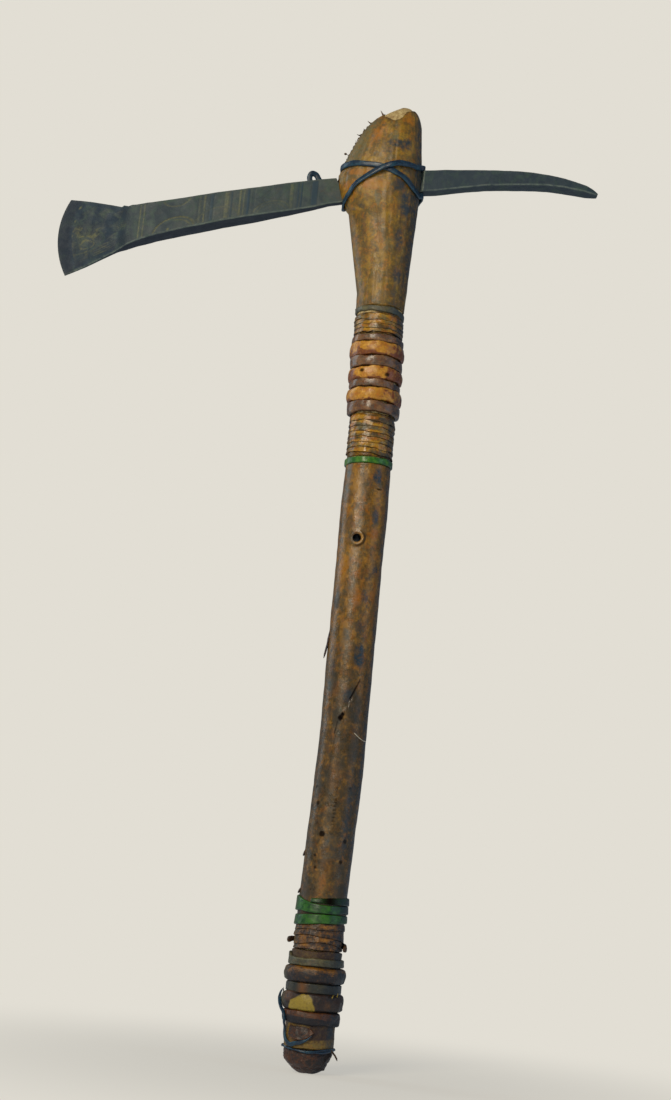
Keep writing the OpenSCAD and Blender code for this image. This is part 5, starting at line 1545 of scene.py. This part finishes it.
def stage():
    """A pale floor that fades into the same pale surround, so no edge or horizon shows."""
    a = full_turn(96)
    radii = np.array([0.02, 0.2, 0.6, 1.5, 4.0, 30.0])[:, None]
    grid = np.stack([radii * np.cos(a), radii * np.sin(a), 0 * radii * a - 0.0002], axis=-1)
    mesh = bpy.data.meshes.new("floor")
    mesh.from_pydata(grid.reshape(-1, 3).tolist(), [], grid_faces(len(radii), len(a), False, True)[:-1])
    floor = bpy.data.objects.new("floor", mesh)
    bpy.context.scene.collection.objects.link(floor)
    material = bpy.data.materials.new("pale_floor")
    material.use_nodes = True
    nodes, links = material.node_tree.nodes, material.node_tree.links
    nodes.clear()
    matte = nodes.new("ShaderNodeBsdfDiffuse")
    matte.inputs["Color"].default_value = rgb(214, 211, 203)
    glow = nodes.new("ShaderNodeEmission")
    glow.inputs["Color"].default_value = PALE
    path = nodes.new("ShaderNodeLightPath")
    where = nodes.new("ShaderNodeNewGeometry")
    length = nodes.new("ShaderNodeVectorMath")
    length.operation = "LENGTH"
    links.new(where.outputs["Position"], length.inputs[0])
    fade = nodes.new("ShaderNodeMapRange")
    fade.interpolation_type = "SMOOTHERSTEP"
    fade.inputs["From Min"].default_value = 0.0
    fade.inputs["From Max"].default_value = 0.45
    fade.inputs["To Min"].default_value = 0.62
    links.new(length.outputs["Value"], fade.inputs["Value"])
    seen = nodes.new("ShaderNodeMath")
    seen.operation = "MULTIPLY"
    links.new(fade.outputs["Result"], seen.inputs[0])
    links.new(path.outputs["Is Camera Ray"], seen.inputs[1])
    mix = nodes.new("ShaderNodeMixShader")
    links.new(seen.outputs["Value"], mix.inputs["Fac"])
    links.new(matte.outputs["BSDF"], mix.inputs[1])
    links.new(glow.outputs["Emission"], mix.inputs[2])
    # Light that the floor sends up to the undersides, not seen on the floor itself
    unseen = nodes.new("ShaderNodeMath")
    unseen.operation = "SUBTRACT"
    unseen.inputs[0].default_value = 1.0
    links.new(path.outputs["Is Camera Ray"], unseen.inputs[1])
    strength = nodes.new("ShaderNodeMath")
    strength.operation = "MULTIPLY"
    strength.inputs[1].default_value = 0.26
    links.new(unseen.outputs["Value"], strength.inputs[0])
    lift = nodes.new("ShaderNodeEmission")
    lift.inputs["Color"].default_value = rgb(200, 214, 232)
    links.new(strength.outputs["Value"], lift.inputs["Strength"])
    both = nodes.new("ShaderNodeAddShader")
    links.new(mix.outputs["Shader"], both.inputs[0])
    links.new(lift.outputs["Emission"], both.inputs[1])
    output = nodes.new("ShaderNodeOutputMaterial")
    links.new(both.outputs["Shader"], output.inputs["Surface"])
    mesh.materials.append(material)

    world = bpy.data.worlds.new("surround")
    bpy.context.scene.world = world
    world.use_nodes = True
    nodes, links = world.node_tree.nodes, world.node_tree.links
    nodes.clear()
    shown = nodes.new("ShaderNodeBackground")
    shown.inputs["Color"].default_value = PALE
    ambient = nodes.new("ShaderNodeBackground")
    ambient.inputs["Color"].default_value = rgb(206, 216, 235)
    ambient.inputs["Strength"].default_value = 0.22
    path = nodes.new("ShaderNodeLightPath")
    mix = nodes.new("ShaderNodeMixShader")
    links.new(path.outputs["Is Camera Ray"], mix.inputs["Fac"])
    links.new(ambient.outputs["Background"], mix.inputs[1])
    links.new(shown.outputs["Background"], mix.inputs[2])
    output = nodes.new("ShaderNodeOutputWorld")
    links.new(mix.outputs["Shader"], output.inputs["Surface"])


def area_light(name, azimuth, elevation, distance, size, power, colour):
    """A soft panel that faces the tool, azimuth degrees from the front towards the pick."""
    target = Vector((-0.02, 0, 0.33))
    turn, rise = math.radians(azimuth), math.radians(elevation)
    out = Vector((math.sin(turn) * math.cos(rise), -math.cos(turn) * math.cos(rise), math.sin(rise)))
    light = bpy.data.lights.new(name, "AREA")
    light.shape, light.size, light.size_y = "RECTANGLE", size[0], size[1]
    light.energy, light.color = power, colour[:3]
    holder = bpy.data.objects.new(name, light)
    holder.location = target + out * distance
    holder.rotation_euler = out.to_track_quat("Z", "Y").to_euler()
    bpy.context.scene.collection.objects.link(holder)


def camera():
    """The photo's viewpoint: in front of the butt, looking up a little and rolled a little."""
    look_up, roll = math.radians(10.7), math.radians(5.5)
    level = Vector((1, 0, 0))
    upright = Vector((0, -math.sin(look_up), math.cos(look_up)))
    forward = Vector((0, math.cos(look_up), math.sin(look_up)))
    right = level * math.cos(roll) + upright * math.sin(roll)
    up = upright * math.cos(roll) - level * math.sin(roll)
    lens = bpy.data.cameras.new("camera")
    lens.lens, lens.sensor_width, lens.sensor_fit = 58.9, 36, "AUTO"
    lens.clip_start, lens.clip_end = 0.01, 100
    holder = bpy.data.objects.new("camera", lens)
    turn = Matrix((right, up, -forward)).transposed().to_4x4()
    holder.matrix_world = Matrix.Translation((-0.0122, -1.0966, 0.10586)) @ turn
    bpy.context.scene.collection.objects.link(holder)
    bpy.context.scene.camera = holder


stage()
area_light("key", -26, 26, 2.6, (0.8, 1.3), 40, rgb(255, 244, 222))
area_light("side", 62, 14, 1.5, (0.5, 1.2), 2.4, rgb(186, 216, 246))
area_light("rim", -110, 20, 1.4, (0.5, 1.2), 5, rgb(204, 226, 238))
camera()
bpy.context.scene.view_settings.view_transform = "Standard"
